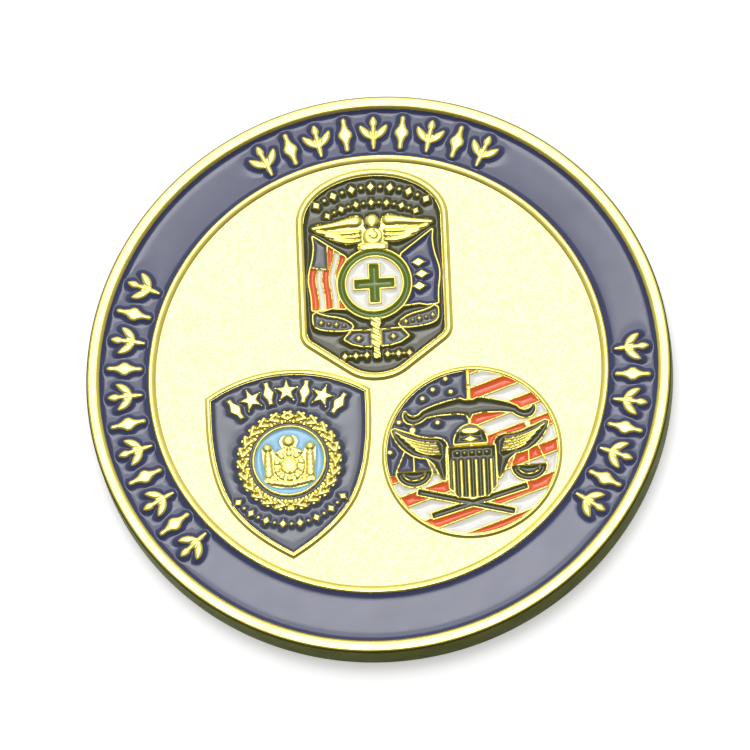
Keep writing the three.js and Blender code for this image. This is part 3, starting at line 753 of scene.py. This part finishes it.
def crest_devices():
    wing = crest_wing()
    return dict(
        balance_beam=beam(), pan_left=pan(-1), pan_right=pan(1),
        wing_right=polygon(wing), wing_left=polygon(mirrored(wing, POST_X)),
        crest_shield=crest_shield(), finial=polygon(arc(POST_X, -6.95, 1.4, 0, 180, 24, height=1.65)),
        crossed_staves=union([stave(1), stave(-1)]),
    )


def shield_lines():
    """The upright bars of the crest's shield and the row of dots above them."""
    axis, chief = CREST_SHIELD["axis"], CREST_SHIELD["chief"]
    height = chief - CREST_SHIELD["foot"] + 0.4
    bars = [
        polygon(place(bar(0.22, height), axis + (i - 2.5) * 0.65, chief - height / 2)) for i in range(6)
    ]
    return bars + [disc(axis + (i - 2) * 0.64, -7.82, 0.1) for i in range(5)]


def crest_device_lines(shield_edge):
    """The gold that lies within each device of the round crest."""
    right_quills = quills()
    left_quills = [line * (-1, 1) + (2 * POST_X, 0) for line in right_quills]
    cap_light = polygon(place(circle(0, 0, 1) * (0.8, 0.3), POST_X, -5.85))
    cap_lozenge = polygon(place(lozenge(1.3, 0.62), POST_X, -6.6))
    return dict(
        wing_right=[path(line, QUILL_WIDTH) for line in right_quills],
        wing_left=[path(line, QUILL_WIDTH) for line in left_quills],
        crest_shield=shield_lines(), pan_left=[pan_glint(-1)], pan_right=[pan_glint(1)],
        finial=[cap_light, cap_lozenge, shield_edge], crossed_staves=[shield_edge],
    )


def flag_cells(area, lines, canton):
    """Sloping red and white stripes by turns."""
    for i, top in enumerate(FLAG_TOPS):
        red = flag_stripe(top, top - FLAG_RED)
        cell(f"flag_red_{i + 1}", "red_enamel", cut(both(area, red), lines, canton))
    for i, (top, next_top) in enumerate(zip(FLAG_TOPS, FLAG_TOPS[1:])):
        white = flag_stripe(top - FLAG_RED - FLAG_LINE, next_top + FLAG_LINE)
        cell(f"flag_white_{i + 1}", "white_enamel", cut(both(area, white), lines, canton))


CANTON_DOTS = [
    (5.8, -1.0), (4.67, -1.9), (3.75, -2.67), (6.22, -2.2), (1.62, -4.7), (4.97, -4.93), (0.75, -7.38),
]


def round_cells(outline):
    devices = crest_devices()
    device_lines = crest_device_lines(grown(devices["crest_shield"], DEVICE_LINE))
    for name, area in devices.items():
        cell(name, "black_enamel", cut(area, *device_lines.get(name, [])), DEEP)
    post = polygon(place(bar(0.34, 5.6), POST_X, -2.5))
    borders = [grown(area, DEVICE_LINE) for area in devices.values()]
    lines = union([*borders, post, *cords(1), *cords(-1)])
    canton = polygon([(-2, CANTON_FOOT_Y), (POST_X, CANTON_FOOT_Y), (POST_X, 2), (-2, 2)])
    dots = [disc(x, y, 0.23) for x, y in CANTON_DOTS]
    cell("canton", "navy_enamel", cut(both(outline, canton), lines, *dots))
    flag_cells(outline, lines, grown(canton, FLAG_LINE))


# ---------------- making the enamel


def family_nodes(family):
    exact = f"{family}_enamel"
    return [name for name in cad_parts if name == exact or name.startswith(f"{family}_part_")]


def centre_of(node):
    low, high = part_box(node)
    return np.array([(low[0] + high[0]) / 2, (low[1] + high[1]) / 2]) / MM


def nearest(names, at):
    return min(names, key=lambda name: hypot(*(centre_of(name) - at)))


def enamel_height(depth, meniscus):
    rise, reach = meniscus
    return ENAMEL_LEVEL + rise * np.exp(-np.maximum(depth, 0) / reach)


def enamel_pieces():
    """A piece for each CAD node that the cell's openings are matched to, each opening to the nearest
    node; a node left without one is hidden with the nearest piece.
    """
    gathered = {}
    for family, slot, region, meniscus in CELLS:
        points, faces = triangulated(grown(region, TUCK), 0.09, 0.3, 0.7)
        region.low, region.high = points.min(axis=0) - TUCK, points.max(axis=0) + TUCK
        heights = enamel_height(-region.distance(points), meniscus)
        label = islands(len(points), faces)
        own_nodes = family_nodes(family)
        # a sliver with no node of its own joins the nearest stripe of its colour
        colour = family.rsplit("_", 1)[0]
        nodes = own_nodes or [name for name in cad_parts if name.startswith(colour)]
        for island in np.unique(label):
            mine, own = compact(points, faces[label == island])
            used = np.unique(faces[label == island])
            name = nearest(nodes, (mine.min(axis=0) + mine.max(axis=0)) / 2)
            shells = gathered.setdefault(name, (Shells(), slot, [name]))[0]
            shells.add_relief(mine, own, heights[used], CELL_FLOOR + 0.02)
        made = [name for name in own_nodes if name in gathered]
        for name in sorted(set(own_nodes) - set(made)):
            gathered[nearest(made, centre_of(name))][2].append(name)
    for name, (shells, slot, nodes) in gathered.items():
        finish_piece(shells.make(name.replace("_enamel", "_fill"), [enamel(slot)]), slot, *nodes)


def finish_piece(piece, slot, *nodes):
    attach(piece, "root")
    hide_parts(*nodes)


def band_fill(placed):
    inner, outer = disc(0, 0, RING_OUTER), disc(0, 0, RIM_INNER)
    motifs = union(placed)
    region = grown(cut(outer, inner, motifs), TUCK)
    points, faces = triangulated(region, 0.1, 0.4, 0.9)
    radius = np.hypot(*points.T)
    rises = [
        0.2 * np.exp(-np.maximum(radius - RING_OUTER, 0) / 0.36),
        0.2 * np.exp(-np.maximum(RIM_INNER - radius, 0) / 0.2),
        0.2 * np.exp(-np.maximum(motifs.distance(points), 0) / 0.26),
    ]
    shells = Shells()
    shells.add_relief(points, faces, ENAMEL_LEVEL + np.max(rises, axis=0), CELL_FLOOR + 0.02)
    finish_piece(shells.make("band_fill", [enamel("slate_enamel")]), "slate_enamel", "band_enamel")


# ---------------- the struck body

# the third finish is painted shade: dark olive metal on the outer edge wall
POLISHED, SANDBLASTED, SHADED_EDGE = 0, 1, 2
TURN_STEPS = 300
EDGE_ROUND = 0.3
REVERSE_FIELD = 0.28
REVERSE_BASE = REVERSE_FIELD + 0.02    # where the reverse relief starts, just inside the blank
REVERSE_SUNK = 0.5
LAUREL_RADIUS, LEAF_LENGTH = 13.5, 5


def turned(shells, profile, finish):
    """A shell turned about the axis from a profile of radius and height."""
    steps = TURN_STEPS
    turn = np.linspace(0, 2 * pi, steps, endpoint=False)
    points, rings = [], []
    for radius, height in profile:
        if radius == 0:
            rings.append([len(points)] * steps)
            points.append((0, 0, height))
        else:
            rings.append([len(points) + i for i in range(steps)])
            points += [(radius * cos(a), radius * sin(a), height) for a in turn]
    faces = []
    for low, high in zip(rings[:-1], rings[1:]):
        for i in range(steps):
            j = (i + 1) % steps
            corners = [low[i], low[j], high[j], high[i]]
            faces.append([c for k, c in enumerate(corners) if c != corners[k - 1]])
    shells.add(points, faces, finish)


def offset(corners, by):
    """A counter-clockwise outline moved outwards, with mitred corners."""
    before, after = np.roll(corners, 1, axis=0), np.roll(corners, -1, axis=0)
    arriving = (corners - before) / np.hypot(*(corners - before).T)[:, None]
    leaving = (after - corners) / np.hypot(*(after - corners).T)[:, None]
    reach = by / np.maximum(1 + (arriving * leaving).sum(axis=1), 0.6)
    both_ways = arriving + leaving
    return corners + np.c_[both_ways[:, 1], -both_ways[:, 0]] * reach[:, None]


def ridge(shells, corners, profile):
    """A closed band along an outline; the profile is a loop of outward offsets and heights."""
    corners = np.asarray(corners, float)
    keep = np.hypot(*(corners - np.roll(corners, 1, axis=0)).T) > 1e-6
    corners = corners[keep]
    count = len(corners)
    points = np.concatenate([np.c_[offset(corners, by), np.full(count, z)] for by, z in profile])
    faces = []
    for k in range(len(profile)):
        here, above = k * count, (k + 1) % len(profile) * count
        for i in range(count):
            j = (i + 1) % count
            faces.append((here + i, above + i, above + j, here + j))
    shells.add(points, faces, POLISHED)


def border_profile(width, crest_at, crest_z):
    """The section of a border: a steep inner wall, a rounded crest and a long outer slope."""
    inner_wall = [(0, SUNK), (0, LINE_TOP - 0.08), (0.05, LINE_TOP - 0.02)]
    crest = [(crest_at - 0.1, crest_z - 0.012), (crest_at, crest_z), (crest_at + 0.1, crest_z - 0.015)]
    slope = [(width - 0.12, FIELD_TOP + 0.03), (width, FIELD_TOP - 0.005), (width, SUNK)]
    return inner_wall + crest + slope


def line_height(depth):
    return LINE_TOP - 0.08 * np.clip(1 - depth / 0.14, 0, 1) ** 2


def add_lines(shells, region, sculpt):
    points, faces = triangulated(region, 0.07, 0.09, 0.2)
    depth = -region.distance(points)
    heights = sculpt(points, depth, line_height(depth))
    shells.add_relief(points, faces, heights, SUNK, POLISHED)


def strand(points, line, width_a, width_b, height):
    """A rounded bar that follows a bent line and narrows along it."""
    widths = np.linspace(width_a, width_b, len(line))
    lobes = [
        lobe(points, line[i], line[i + 1], widths[i], widths[i + 1], height)
        for i in range(len(line) - 1)
    ]
    return np.max(lobes, axis=0)


def winged_figure(points, depth):
    """Wings with a thick arm and three feathers, a coiled body, a plinth and a round head."""
    x, y = points.T
    aside = np.c_[np.abs(x), y]
    arm = strand(aside, [(1.4, 13.98), (2.2, 13.92), (3.4, 13.72), (5.3, 13.48)], 1.0, 0.45, 0.22)
    feathers = [
        strand(aside, curve((1.15, 13.0 - 0.42 * i), (2.7 - 0.3 * i, 12.75 - 0.4 * i),
                            (4.75 - 0.75 * i, 13.2 - 0.42 * i), 5), 0.4, 0.46, 0.19)
        for i in range(3)
    ]
    body = lobe(points, (0, 12.5), (0, 12.51), 1.7, 1.7, 0.2)
    groove = np.exp(-((np.abs(np.hypot(x - 0.12, y - 12.62) - 0.42) / 0.09) ** 2))
    body = body - 0.09 * np.where((x > -0.2) | (y < 12.6), groove, 0)
    neck = lobe(points, (0, 13.7), (-0.1, 13.0), 0.6, 0.75, 0.17)
    plinth = lobe(points, (-0.9, 11.55), (0.9, 11.55), 0.7, 0.7, 0.12)
    head = lobe(points, (0, 13.95), (0, 13.96), 1.25, 1.25, 0.23)
    relief = np.max([arm, body, neck, plinth, head, *feathers], axis=0)
    edge = np.clip(1 - depth / 0.12, 0, 1) ** 2
    return np.minimum(FIELD_TOP - 0.04 + relief * (1 - 0.4 * edge), RIM_TOP - 0.02)


def sculpt_badge(points, depth, heights):
    """The winged figure over the roundel and the twisted staff under it."""
    x, y = points.T
    on_wings = badge_wings().distance(points) < 0.02
    heights = np.where(on_wings, winged_figure(points, depth), heights)
    on_staff = (np.abs(x) < 0.6) & (y < 5.1) & (y > 1.2)
    twist = 0.035 * np.sin(11 * y + 7 * x)
    shaft = LINE_TOP - 0.06 + 0.1 * np.sqrt(np.clip(1 - (x / 0.5) ** 2, 0, 1)) + twist
    return np.where(on_staff, shaft, heights)


def wreath_leaves(from_seal, radius):
    """The same pair of leaves and a bud, over and over round the wreath."""
    turn = np.arctan2(np.abs(from_seal[:, 0]), from_seal[:, 1]) * WREATH_LINKS / (2 * pi)
    along = (np.round(turn) - turn) * 2 * pi * WREATH_RADIUS / WREATH_LINKS
    link = np.c_[np.abs(radius - WREATH_RADIUS), along]
    return np.max([
        lobe(link, (0.05, -0.45), (0.36, 0.16), 0.36, 0.46, 0.2),
        lobe(link, (0, 0.3), (0, 0.38), 0.42, 0.36, 0.25),
        lobe(link, (0.42, -0.3), (0.46, -0.2), 0.26, 0.26, 0.13),
    ], axis=0)


def emblem_mounds(points):
    """A beaded boss, two pillars with round tops, an orb on a mantle and a folded ribbon."""
    axis, boss_y = SEAL[0], -7.95
    aside = np.c_[np.abs(points[:, 0] - axis), points[:, 1]]
    from_boss = points - (axis, boss_y)
    beads = 0.04 * np.cos(10 * np.arctan2(*from_boss.T))
    return np.max([
        lobe(points, (axis, boss_y), (axis, boss_y - 0.01), 1.7, 1.7, 0.2),
        np.where(np.abs(np.hypot(*from_boss.T) - 1.1) < 0.24, 0.12 + beads, 0),
        lobe(aside, (1.82, -6.9), (1.8, -8.7), 0.6, 0.8, 0.17),
        lobe(aside, (1.85, -6.25), (1.85, -6.26), 0.8, 0.8, 0.21),
        lobe(points, (axis, -5.7), (axis, -5.71), 1.0, 1.0, 0.2),
        lobe(aside, (0.3, -6.45), (1.0, -6.75), 0.5, 0.4, 0.13),
        lobe(aside, (2.1, -9.25), (0, -9.65), 0.5, 0.55, 0.15),
        lobe(aside, (0, -9.2), (1.5, -8.95), 0.3, 0.3, 0.1),
    ], axis=0)


def sculpt_shield(points, depth, heights):
    """A wreath of leaf pairs round the seal, and the parts of the emblem as separate mounds."""
    from_seal = points - SEAL
    radius = np.hypot(*from_seal.T)
    on_wreath = (radius > WREATH_INNER - 0.1) & (radius < 4.75)
    leaves = FIELD_TOP - 0.08 + wreath_leaves(from_seal, radius)
    heights = np.where(on_wreath, leaves, heights)
    ripple = 0.012 * np.sin(14 * points[:, 0]) * np.sin(14 * points[:, 1])
    emblem = FIELD_TOP - 0.03 + ripple + emblem_mounds(points)
    return np.where(radius < SEAL_DISC - 0.02, emblem, heights)


def sculpt_round(points, depth, heights):
    """A slot down the post."""
    slot = (np.abs(points[:, 0] - POST_X) < 0.09) & (points[:, 1] > -3.0) & (points[:, 1] < -1.7)
    return np.where(slot, LINE_TOP - 0.12, heights)


def ornament_height(depth):
    return LINE_TOP - 0.11 * np.clip(1 - depth / 0.3, 0, 1) ** 1.6


def add_ornaments(shells, placed):
    region = union(placed)
    points, faces = triangulated(region, 0.09, 0.12, 0.4)
    shells.add_relief(points, faces, ornament_height(-region.distance(points)), SUNK, POLISHED)


def blank_profile():
    """The section of the whole coin: the reverse from the axis outwards, then the obverse back."""
    centre = COIN_RADIUS - EDGE_ROUND
    lower = [
        (centre + EDGE_ROUND * sin(a), EDGE_ROUND - EDGE_ROUND * cos(a))
        for a in np.radians([0, 30, 60, 90])
    ]
    upper = [
        (centre + EDGE_ROUND * sin(a), RIM_TOP - EDGE_ROUND + EDGE_ROUND * cos(a))
        for a in np.radians([90, 72, 54, 36, 18, 0])
    ]
    reverse = [
        (0, REVERSE_FIELD), (RING_INNER, REVERSE_FIELD),
        (19.5, 0.18), (19.72, 0.11), (19.85, 0.1), (RING_OUTER, 0.14),
        (RING_OUTER, 0.7), (RIM_INNER, 0.7), (RIM_INNER, 0.2), (24.35, 0.06), (24.55, 0),
    ]
    rim = [
        (24.75, RIM_TOP), (24.55, RIM_TOP - 0.01), (24.4, RIM_TOP - 0.06), (24.28, RIM_TOP - 0.15),
        (RIM_INNER, RIM_TOP - 0.27), (RIM_INNER, CELL_FLOOR),
    ]
    ring = [
        (RING_OUTER, CELL_FLOOR), (RING_OUTER, RING_TOP - 0.1), (19.95, RING_TOP - 0.03),
        (19.85, RING_TOP), (19.72, RING_TOP - 0.01), (19.5, FIELD_TOP + 0.07),
        (RING_INNER, FIELD_TOP - 0.01), (RING_INNER - 0.2, CELL_FLOOR), (0, CELL_FLOOR),
    ]
    return [*reverse, *lower, (COIN_RADIUS, RIM_TOP / 2), *upper, *rim, *ring]


def add_face_down(shells, region, step, wide, margin, shape):
    """A relief on the reverse; shape gives how far each point stands out."""
    points, faces = triangulated(region, step, wide, margin)
    heights = REVERSE_BASE - shape(points, -region.distance(points))
    start = len(shells.faces)
    shells.add_relief(points, faces, heights, REVERSE_SUNK, POLISHED)
    shells.faces[start:] = [face[::-1] for face in shells.faces[start:]]


def add_laurel_leaf(shells, turn, tilt):
    """A leaf with a midrib, `turn` degrees round the wreath and pointing `tilt` degrees from +Y."""
    foot = around(0, 0, LAUREL_RADIUS, turn)
    tip = around(*foot, LEAF_LENGTH, tilt)
    half = (LEAF_LENGTH * 0.2, LEAF_LENGTH * 0.45)
    outline = [(0, 0), half, (0, LEAF_LENGTH), (-half[0], half[1])]

    def shape(points, depth):
        vein = lobe(points, foot, tip, 0.3, 0.2, 0.06)
        return 0.18 * np.sqrt(np.clip(depth / 0.8, 0, 1)) - vein + 0.02

    add_face_down(shells, polygon(rounded(place(outline, *foot, tilt))), 0.14, 0.2, 0.5, shape)


def add_reverse(shells):
    """A laurel wreath round a plain disc."""
    plain = lambda points, depth: 0.2 - round_edge(depth, 0.15)
    add_face_down(shells, disc(0, 0, 8.0), 0.25, 1.0, 0.8, plain)
    for side in (1, -1):
        for i in range(7):
            turn = side * (165 - i * 22)
            add_laurel_leaf(shells, turn, turn - side * 65)


def struck_body(crests):
    shells = Shells()
    turned(shells, blank_profile(), POLISHED)
    paint_edge_shade_and_sandblast_field(shells)
    under_borders = [grown(polygon(outline), 0.25) for outline, _, _, _ in crests]
    field = cut(disc(0, 0, RING_INNER + 0.05), *under_borders)
    points, faces = triangulated(field, 0.3, 3.0, 0.9)
    shells.add_relief(points, faces, np.full(len(points), FIELD_TOP), SUNK, SANDBLASTED)
    for outline, profile, _, _ in crests:
        ridge(shells, outline, profile)
    add_reverse(shells)
    finish_piece(shells.make("struck_metal", GOLD), "gold_plate", "struck_body")


def relief_pieces(placed, crests):
    """The raised gold of each crest and of the band."""
    names = ("badge_relief", "shield_relief", "round_relief")
    for name, (_, _, region, sculpt) in zip(names, crests):
        shells = Shells()
        add_lines(shells, region, sculpt)
        finish_piece(shells.make(name, GOLD), "gold_plate", "struck_body")
    shells = Shells()
    add_ornaments(shells, placed)
    finish_piece(shells.make("band_relief", GOLD), "gold_plate", "struck_body")


def reverse_band_fill():
    """The enamel of the reverse band, a ring with a meniscus at both edges."""
    inner, outer = RING_OUTER - TUCK, RIM_INNER + TUCK
    shells = Shells()
    turned(shells, [
        (inner, 0.68), (inner, 0.2), (20.15, 0.26), (20.4, 0.3), (23.9, 0.3), (24.1, 0.27),
        (outer, 0.22), (outer, 0.68), (inner, 0.68),
    ], 0)
    piece = shells.make("reverse_band_fill", [enamel("slate_enamel")])
    finish_piece(piece, "slate_enamel", "reverse_band_enamel")


def paint_edge_shade_and_sandblast_field(shells):
    """Gives the blank's outer wall the dark metal of painted shade and its reverse field the
    sandblasted finish.
    """
    points = np.concatenate(shells.points)
    for i, face in enumerate(shells.faces):
        corners = points[list(face)]
        radius = np.hypot(*corners[:, :2].T)
        # the outer edge wall gets the painted-shade metal
        if radius.min() > COIN_RADIUS - 0.2:
            shells.finishes[i] = SHADED_EDGE
        elif corners[:, 2].max() < REVERSE_BASE and radius.max() < RING_INNER + 0.01:
            shells.finishes[i] = SANDBLASTED


def crest(corners, profile, make_cells, sculpt):
    """Makes a crest's cells; what they leave of its area is the region of its gold lines."""
    first = len(CELLS)
    outline = polygon(corners)
    make_cells(outline)
    return corners, profile, cut(outline, *[region for _, _, region, _ in CELLS[first:]]), sculpt


# ---------------- materials


def material(name):
    made = bpy.data.materials.new(name)
    made.use_nodes = True
    nodes, links = made.node_tree.nodes, made.node_tree.links
    return made, nodes, links, nodes["Principled BSDF"]


def set_inputs(node, values):
    for name, value in values.items():
        node.inputs[name].default_value = value


def noise(nodes, links, scale):
    """Noise with about `scale` features in a millimetre."""
    place_node = nodes.new("ShaderNodeTexCoord")
    made = nodes.new("ShaderNodeTexNoise")
    set_inputs(made, {"Scale": scale / MM, "Detail": 2.0})
    links.new(place_node.outputs["Object"], made.inputs["Vector"])
    return made.outputs["Fac"]


def ramp(nodes, links, source, low, high, start=0.3, stop=0.7):
    made = nodes.new("ShaderNodeValToRGB")
    made.color_ramp.elements[0].position = start
    made.color_ramp.elements[1].position = stop
    made.color_ramp.elements[0].color = (*low, 1)
    made.color_ramp.elements[1].color = (*high, 1)
    links.new(source, made.inputs["Fac"])
    return made.outputs["Color"]


def bump(nodes, links, source, distance, shader):
    made = nodes.new("ShaderNodeBump")
    set_inputs(made, {"Strength": 1.0, "Distance": distance * MM})
    links.new(source, made.inputs["Height"])
    links.new(made.outputs["Normal"], shader.inputs["Normal"])


def vary(nodes, links, socket, scale, low, high):
    """Noise moves the socket between two values, three channels each."""
    links.new(ramp(nodes, links, noise(nodes, links, scale), low, high), socket)


def metal(name, low, high, rough, grain, depth, tone=0.5):
    """Metal between two colours and two roughnesses; tone and grain are scales of noise."""
    made, nodes, links, shader = material(name)
    shader.inputs["Metallic"].default_value = 1.0
    vary(nodes, links, shader.inputs["Base Color"], tone, low, high)
    vary(nodes, links, shader.inputs["Roughness"], 0.6, *[(value,) * 3 for value in rough])
    bump(nodes, links, noise(nodes, links, grain), depth, shader)
    return made


def gold_polished():
    low, high = (0.88, 0.73, 0.17), (0.93, 0.81, 0.22)
    return metal("gold_polished", low, high, rough=(0.26, 0.34), grain=1.2, depth=0.008)


def gold_sandblasted():
    low, high = (0.84, 0.77, 0.28), (0.98, 0.95, 0.56)
    return metal("gold_sandblasted", low, high, rough=(0.53, 0.55), grain=6.0, depth=0.02, tone=5.0)


def gold_edge_painted_shade():
    """Painted shade: gold darkened to olive, with an olive reflection tint, so the outer edge wall
    stays as dark as gold in shadow reflecting dark surroundings, even at the grazing angle it is seen
    at.
    """
    low, high = (0.045, 0.045, 0.01), (0.065, 0.062, 0.015)
    made = metal("gold_edge_painted_shade", low, high, rough=(0.35, 0.45), grain=1.5, depth=0.008)
    shader = made.node_tree.nodes["Principled BSDF"]
    # the olive reflection tint is painted shade as well
    shader.inputs["Specular Tint"].default_value = (0.72, 0.77, 0.58, 1)
    return made


ENAMEL_COLOURS = {
    "slate_enamel": (0.042, 0.05, 0.126),
    "navy_enamel": (0.06, 0.07, 0.115),
    "black_enamel": (0.05, 0.052, 0.012),
    "grey_enamel": (0.1, 0.108, 0.115),
    "green_enamel": (0.12, 0.19, 0.012),
    "white_enamel": (0.93, 0.91, 0.84),
    "red_enamel": (0.92, 0.125, 0.028),
    "sky_enamel": (0.28, 0.58, 0.82),
}
_enamels = {}


def enamel(slot):
    if slot not in _enamels:
        made, nodes, links, shader = material(slot)
        shader.inputs["IOR"].default_value = 1.5
        colour = ENAMEL_COLOURS[slot]
        low = tuple(c * 0.9 for c in colour)
        high = tuple(min(c * 1.1, 1) for c in colour)
        vary(nodes, links, shader.inputs["Base Color"], 0.4, low, high)
        vary(nodes, links, shader.inputs["Roughness"], 0.3, (0.1,) * 3, (0.18,) * 3)
        bump(nodes, links, noise(nodes, links, 0.35), 0.008, shader)
        _enamels[slot] = made
    return _enamels[slot]


GOLD = [gold_polished(), gold_sandblasted(), gold_edge_painted_shade()]

# ---------------- camera, light and floor

AZIMUTH, ELEVATION, ROLL = radians(11.9), radians(70.83), radians(14.92)
CAMERA_DISTANCE = 0.9
VIEW_WIDTH = 0.06485    # what the picture is across, at the coin
AIM_ACROSS, AIM_UP = -0.246 * MM, -0.287 * MM    # from the coin's middle to the picture's
SENSOR_WIDTH = 36
FLOOR_REACH = 2


def towards(azimuth, elevation):
    return Vector((sin(azimuth) * cos(elevation), -cos(azimuth) * cos(elevation), sin(elevation)))


def make_camera():
    back = towards(AZIMUTH, ELEVATION)
    right = Vector((cos(AZIMUTH), sin(AZIMUTH), 0))
    up = back.cross(right)
    across = cos(ROLL) * right - sin(ROLL) * up
    upward = sin(ROLL) * right + cos(ROLL) * up
    aim = Vector((0, 0, COIN_HIGH[2])) + AIM_ACROSS * across + AIM_UP * upward
    data = bpy.data.cameras.new("camera")
    data.sensor_width = SENSOR_WIDTH
    data.lens = SENSOR_WIDTH * CAMERA_DISTANCE / VIEW_WIDTH
    data.clip_start, data.clip_end = 0.05, 20
    camera = bpy.data.objects.new("camera", data)
    turn = Matrix((across, upward, back)).transposed().to_4x4()
    camera.matrix_world = Matrix.Translation(aim + CAMERA_DISTANCE * back) @ turn
    bpy.context.scene.collection.objects.link(camera)
    bpy.context.scene.camera = camera


def soft_light(name, at, size, radiance):
    """An elliptical soft box that faces the coin; its radiance is what a mirror shows."""
    width, depth = size
    data = bpy.data.lights.new(name, "AREA")
    data.shape = "ELLIPSE"
    data.size, data.size_y = width, depth
    data.energy = radiance * pi * pi * width * depth / 4
    light = bpy.data.objects.new(name, data)
    at = Vector(at)
    light.matrix_world = Matrix.Translation(at) @ at.to_track_quat("Z", "Y").to_matrix().to_4x4()
    bpy.context.scene.collection.objects.link(light)


def sky(nodes, links):
    """A soft grey room, brighter behind the coin than on the camera's side."""
    place_node = nodes.new("ShaderNodeTexCoord")
    split = nodes.new("ShaderNodeSeparateXYZ")
    links.new(place_node.outputs["Generated"], split.inputs["Vector"])
    spread = nodes.new("ShaderNodeMapRange")
    set_inputs(spread, {"From Min": -0.6, "From Max": 0.6})
    links.new(split.outputs["Y"], spread.inputs["Value"])
    shade = ramp(nodes, links, spread.outputs["Result"], (0.17, 0.165, 0.14), (0.7, 0.7, 0.7), 0, 1)
    links.new(shade, nodes["Background"].inputs["Color"])


def make_floor():
    reach = FLOOR_REACH
    corners = [(-reach, -reach, 0), (reach, -reach, 0), (reach, reach, 0), (-reach, reach, 0)]
    mesh = bpy.data.meshes.new("floor")
    mesh.from_pydata(corners, [], [(0, 1, 2, 3)])
    floor = bpy.data.objects.new("floor", mesh)
    bpy.context.scene.collection.objects.link(floor)
    made, _, _, shader = material("floor")
    set_inputs(shader, {
        "Base Color": (0.95, 0.95, 0.95, 1), "Roughness": 0.9,
        "Emission Color": (1, 1, 1, 1), "Emission Strength": 0.42,
    })
    mesh.materials.append(made)


def make_studio():
    soft_light("soft_box", (-0.07, 0.4, 0.85), (0.55, 0.75), 3.15)
    soft_light("small_soft_box", (-0.05, 0.13, 0.85), (0.4, 0.32), 4.0)
    world = bpy.data.worlds.new("studio")
    world.use_nodes = True
    sky(world.node_tree.nodes, world.node_tree.links)
    bpy.context.scene.world = world
    bpy.context.scene.view_settings.view_transform = "Standard"
    make_floor()


# ---------------- the coin

make_camera()
make_studio()
placed_ornaments = ornaments()
badge_border = border_profile(0.7, 0.36, LINE_TOP + 0.04)
shield_border = border_profile(0.5, 0.2, LINE_TOP + 0.02)
round_border = border_profile(0.45, 0.16, LINE_TOP + 0.02)
round_outline = circle(*ROUND, ROUND_ENAMEL, 200)
crests = [
    crest(badge_outline(), badge_border, badge_cells, sculpt_badge),
    crest(shield_outline(), shield_border, shield_cells, sculpt_shield),
    crest(round_outline, round_border, round_cells, sculpt_round),
]
band_fill(placed_ornaments)
enamel_pieces()
struck_body(crests)
relief_pieces(placed_ornaments, crests)
reverse_band_fill()
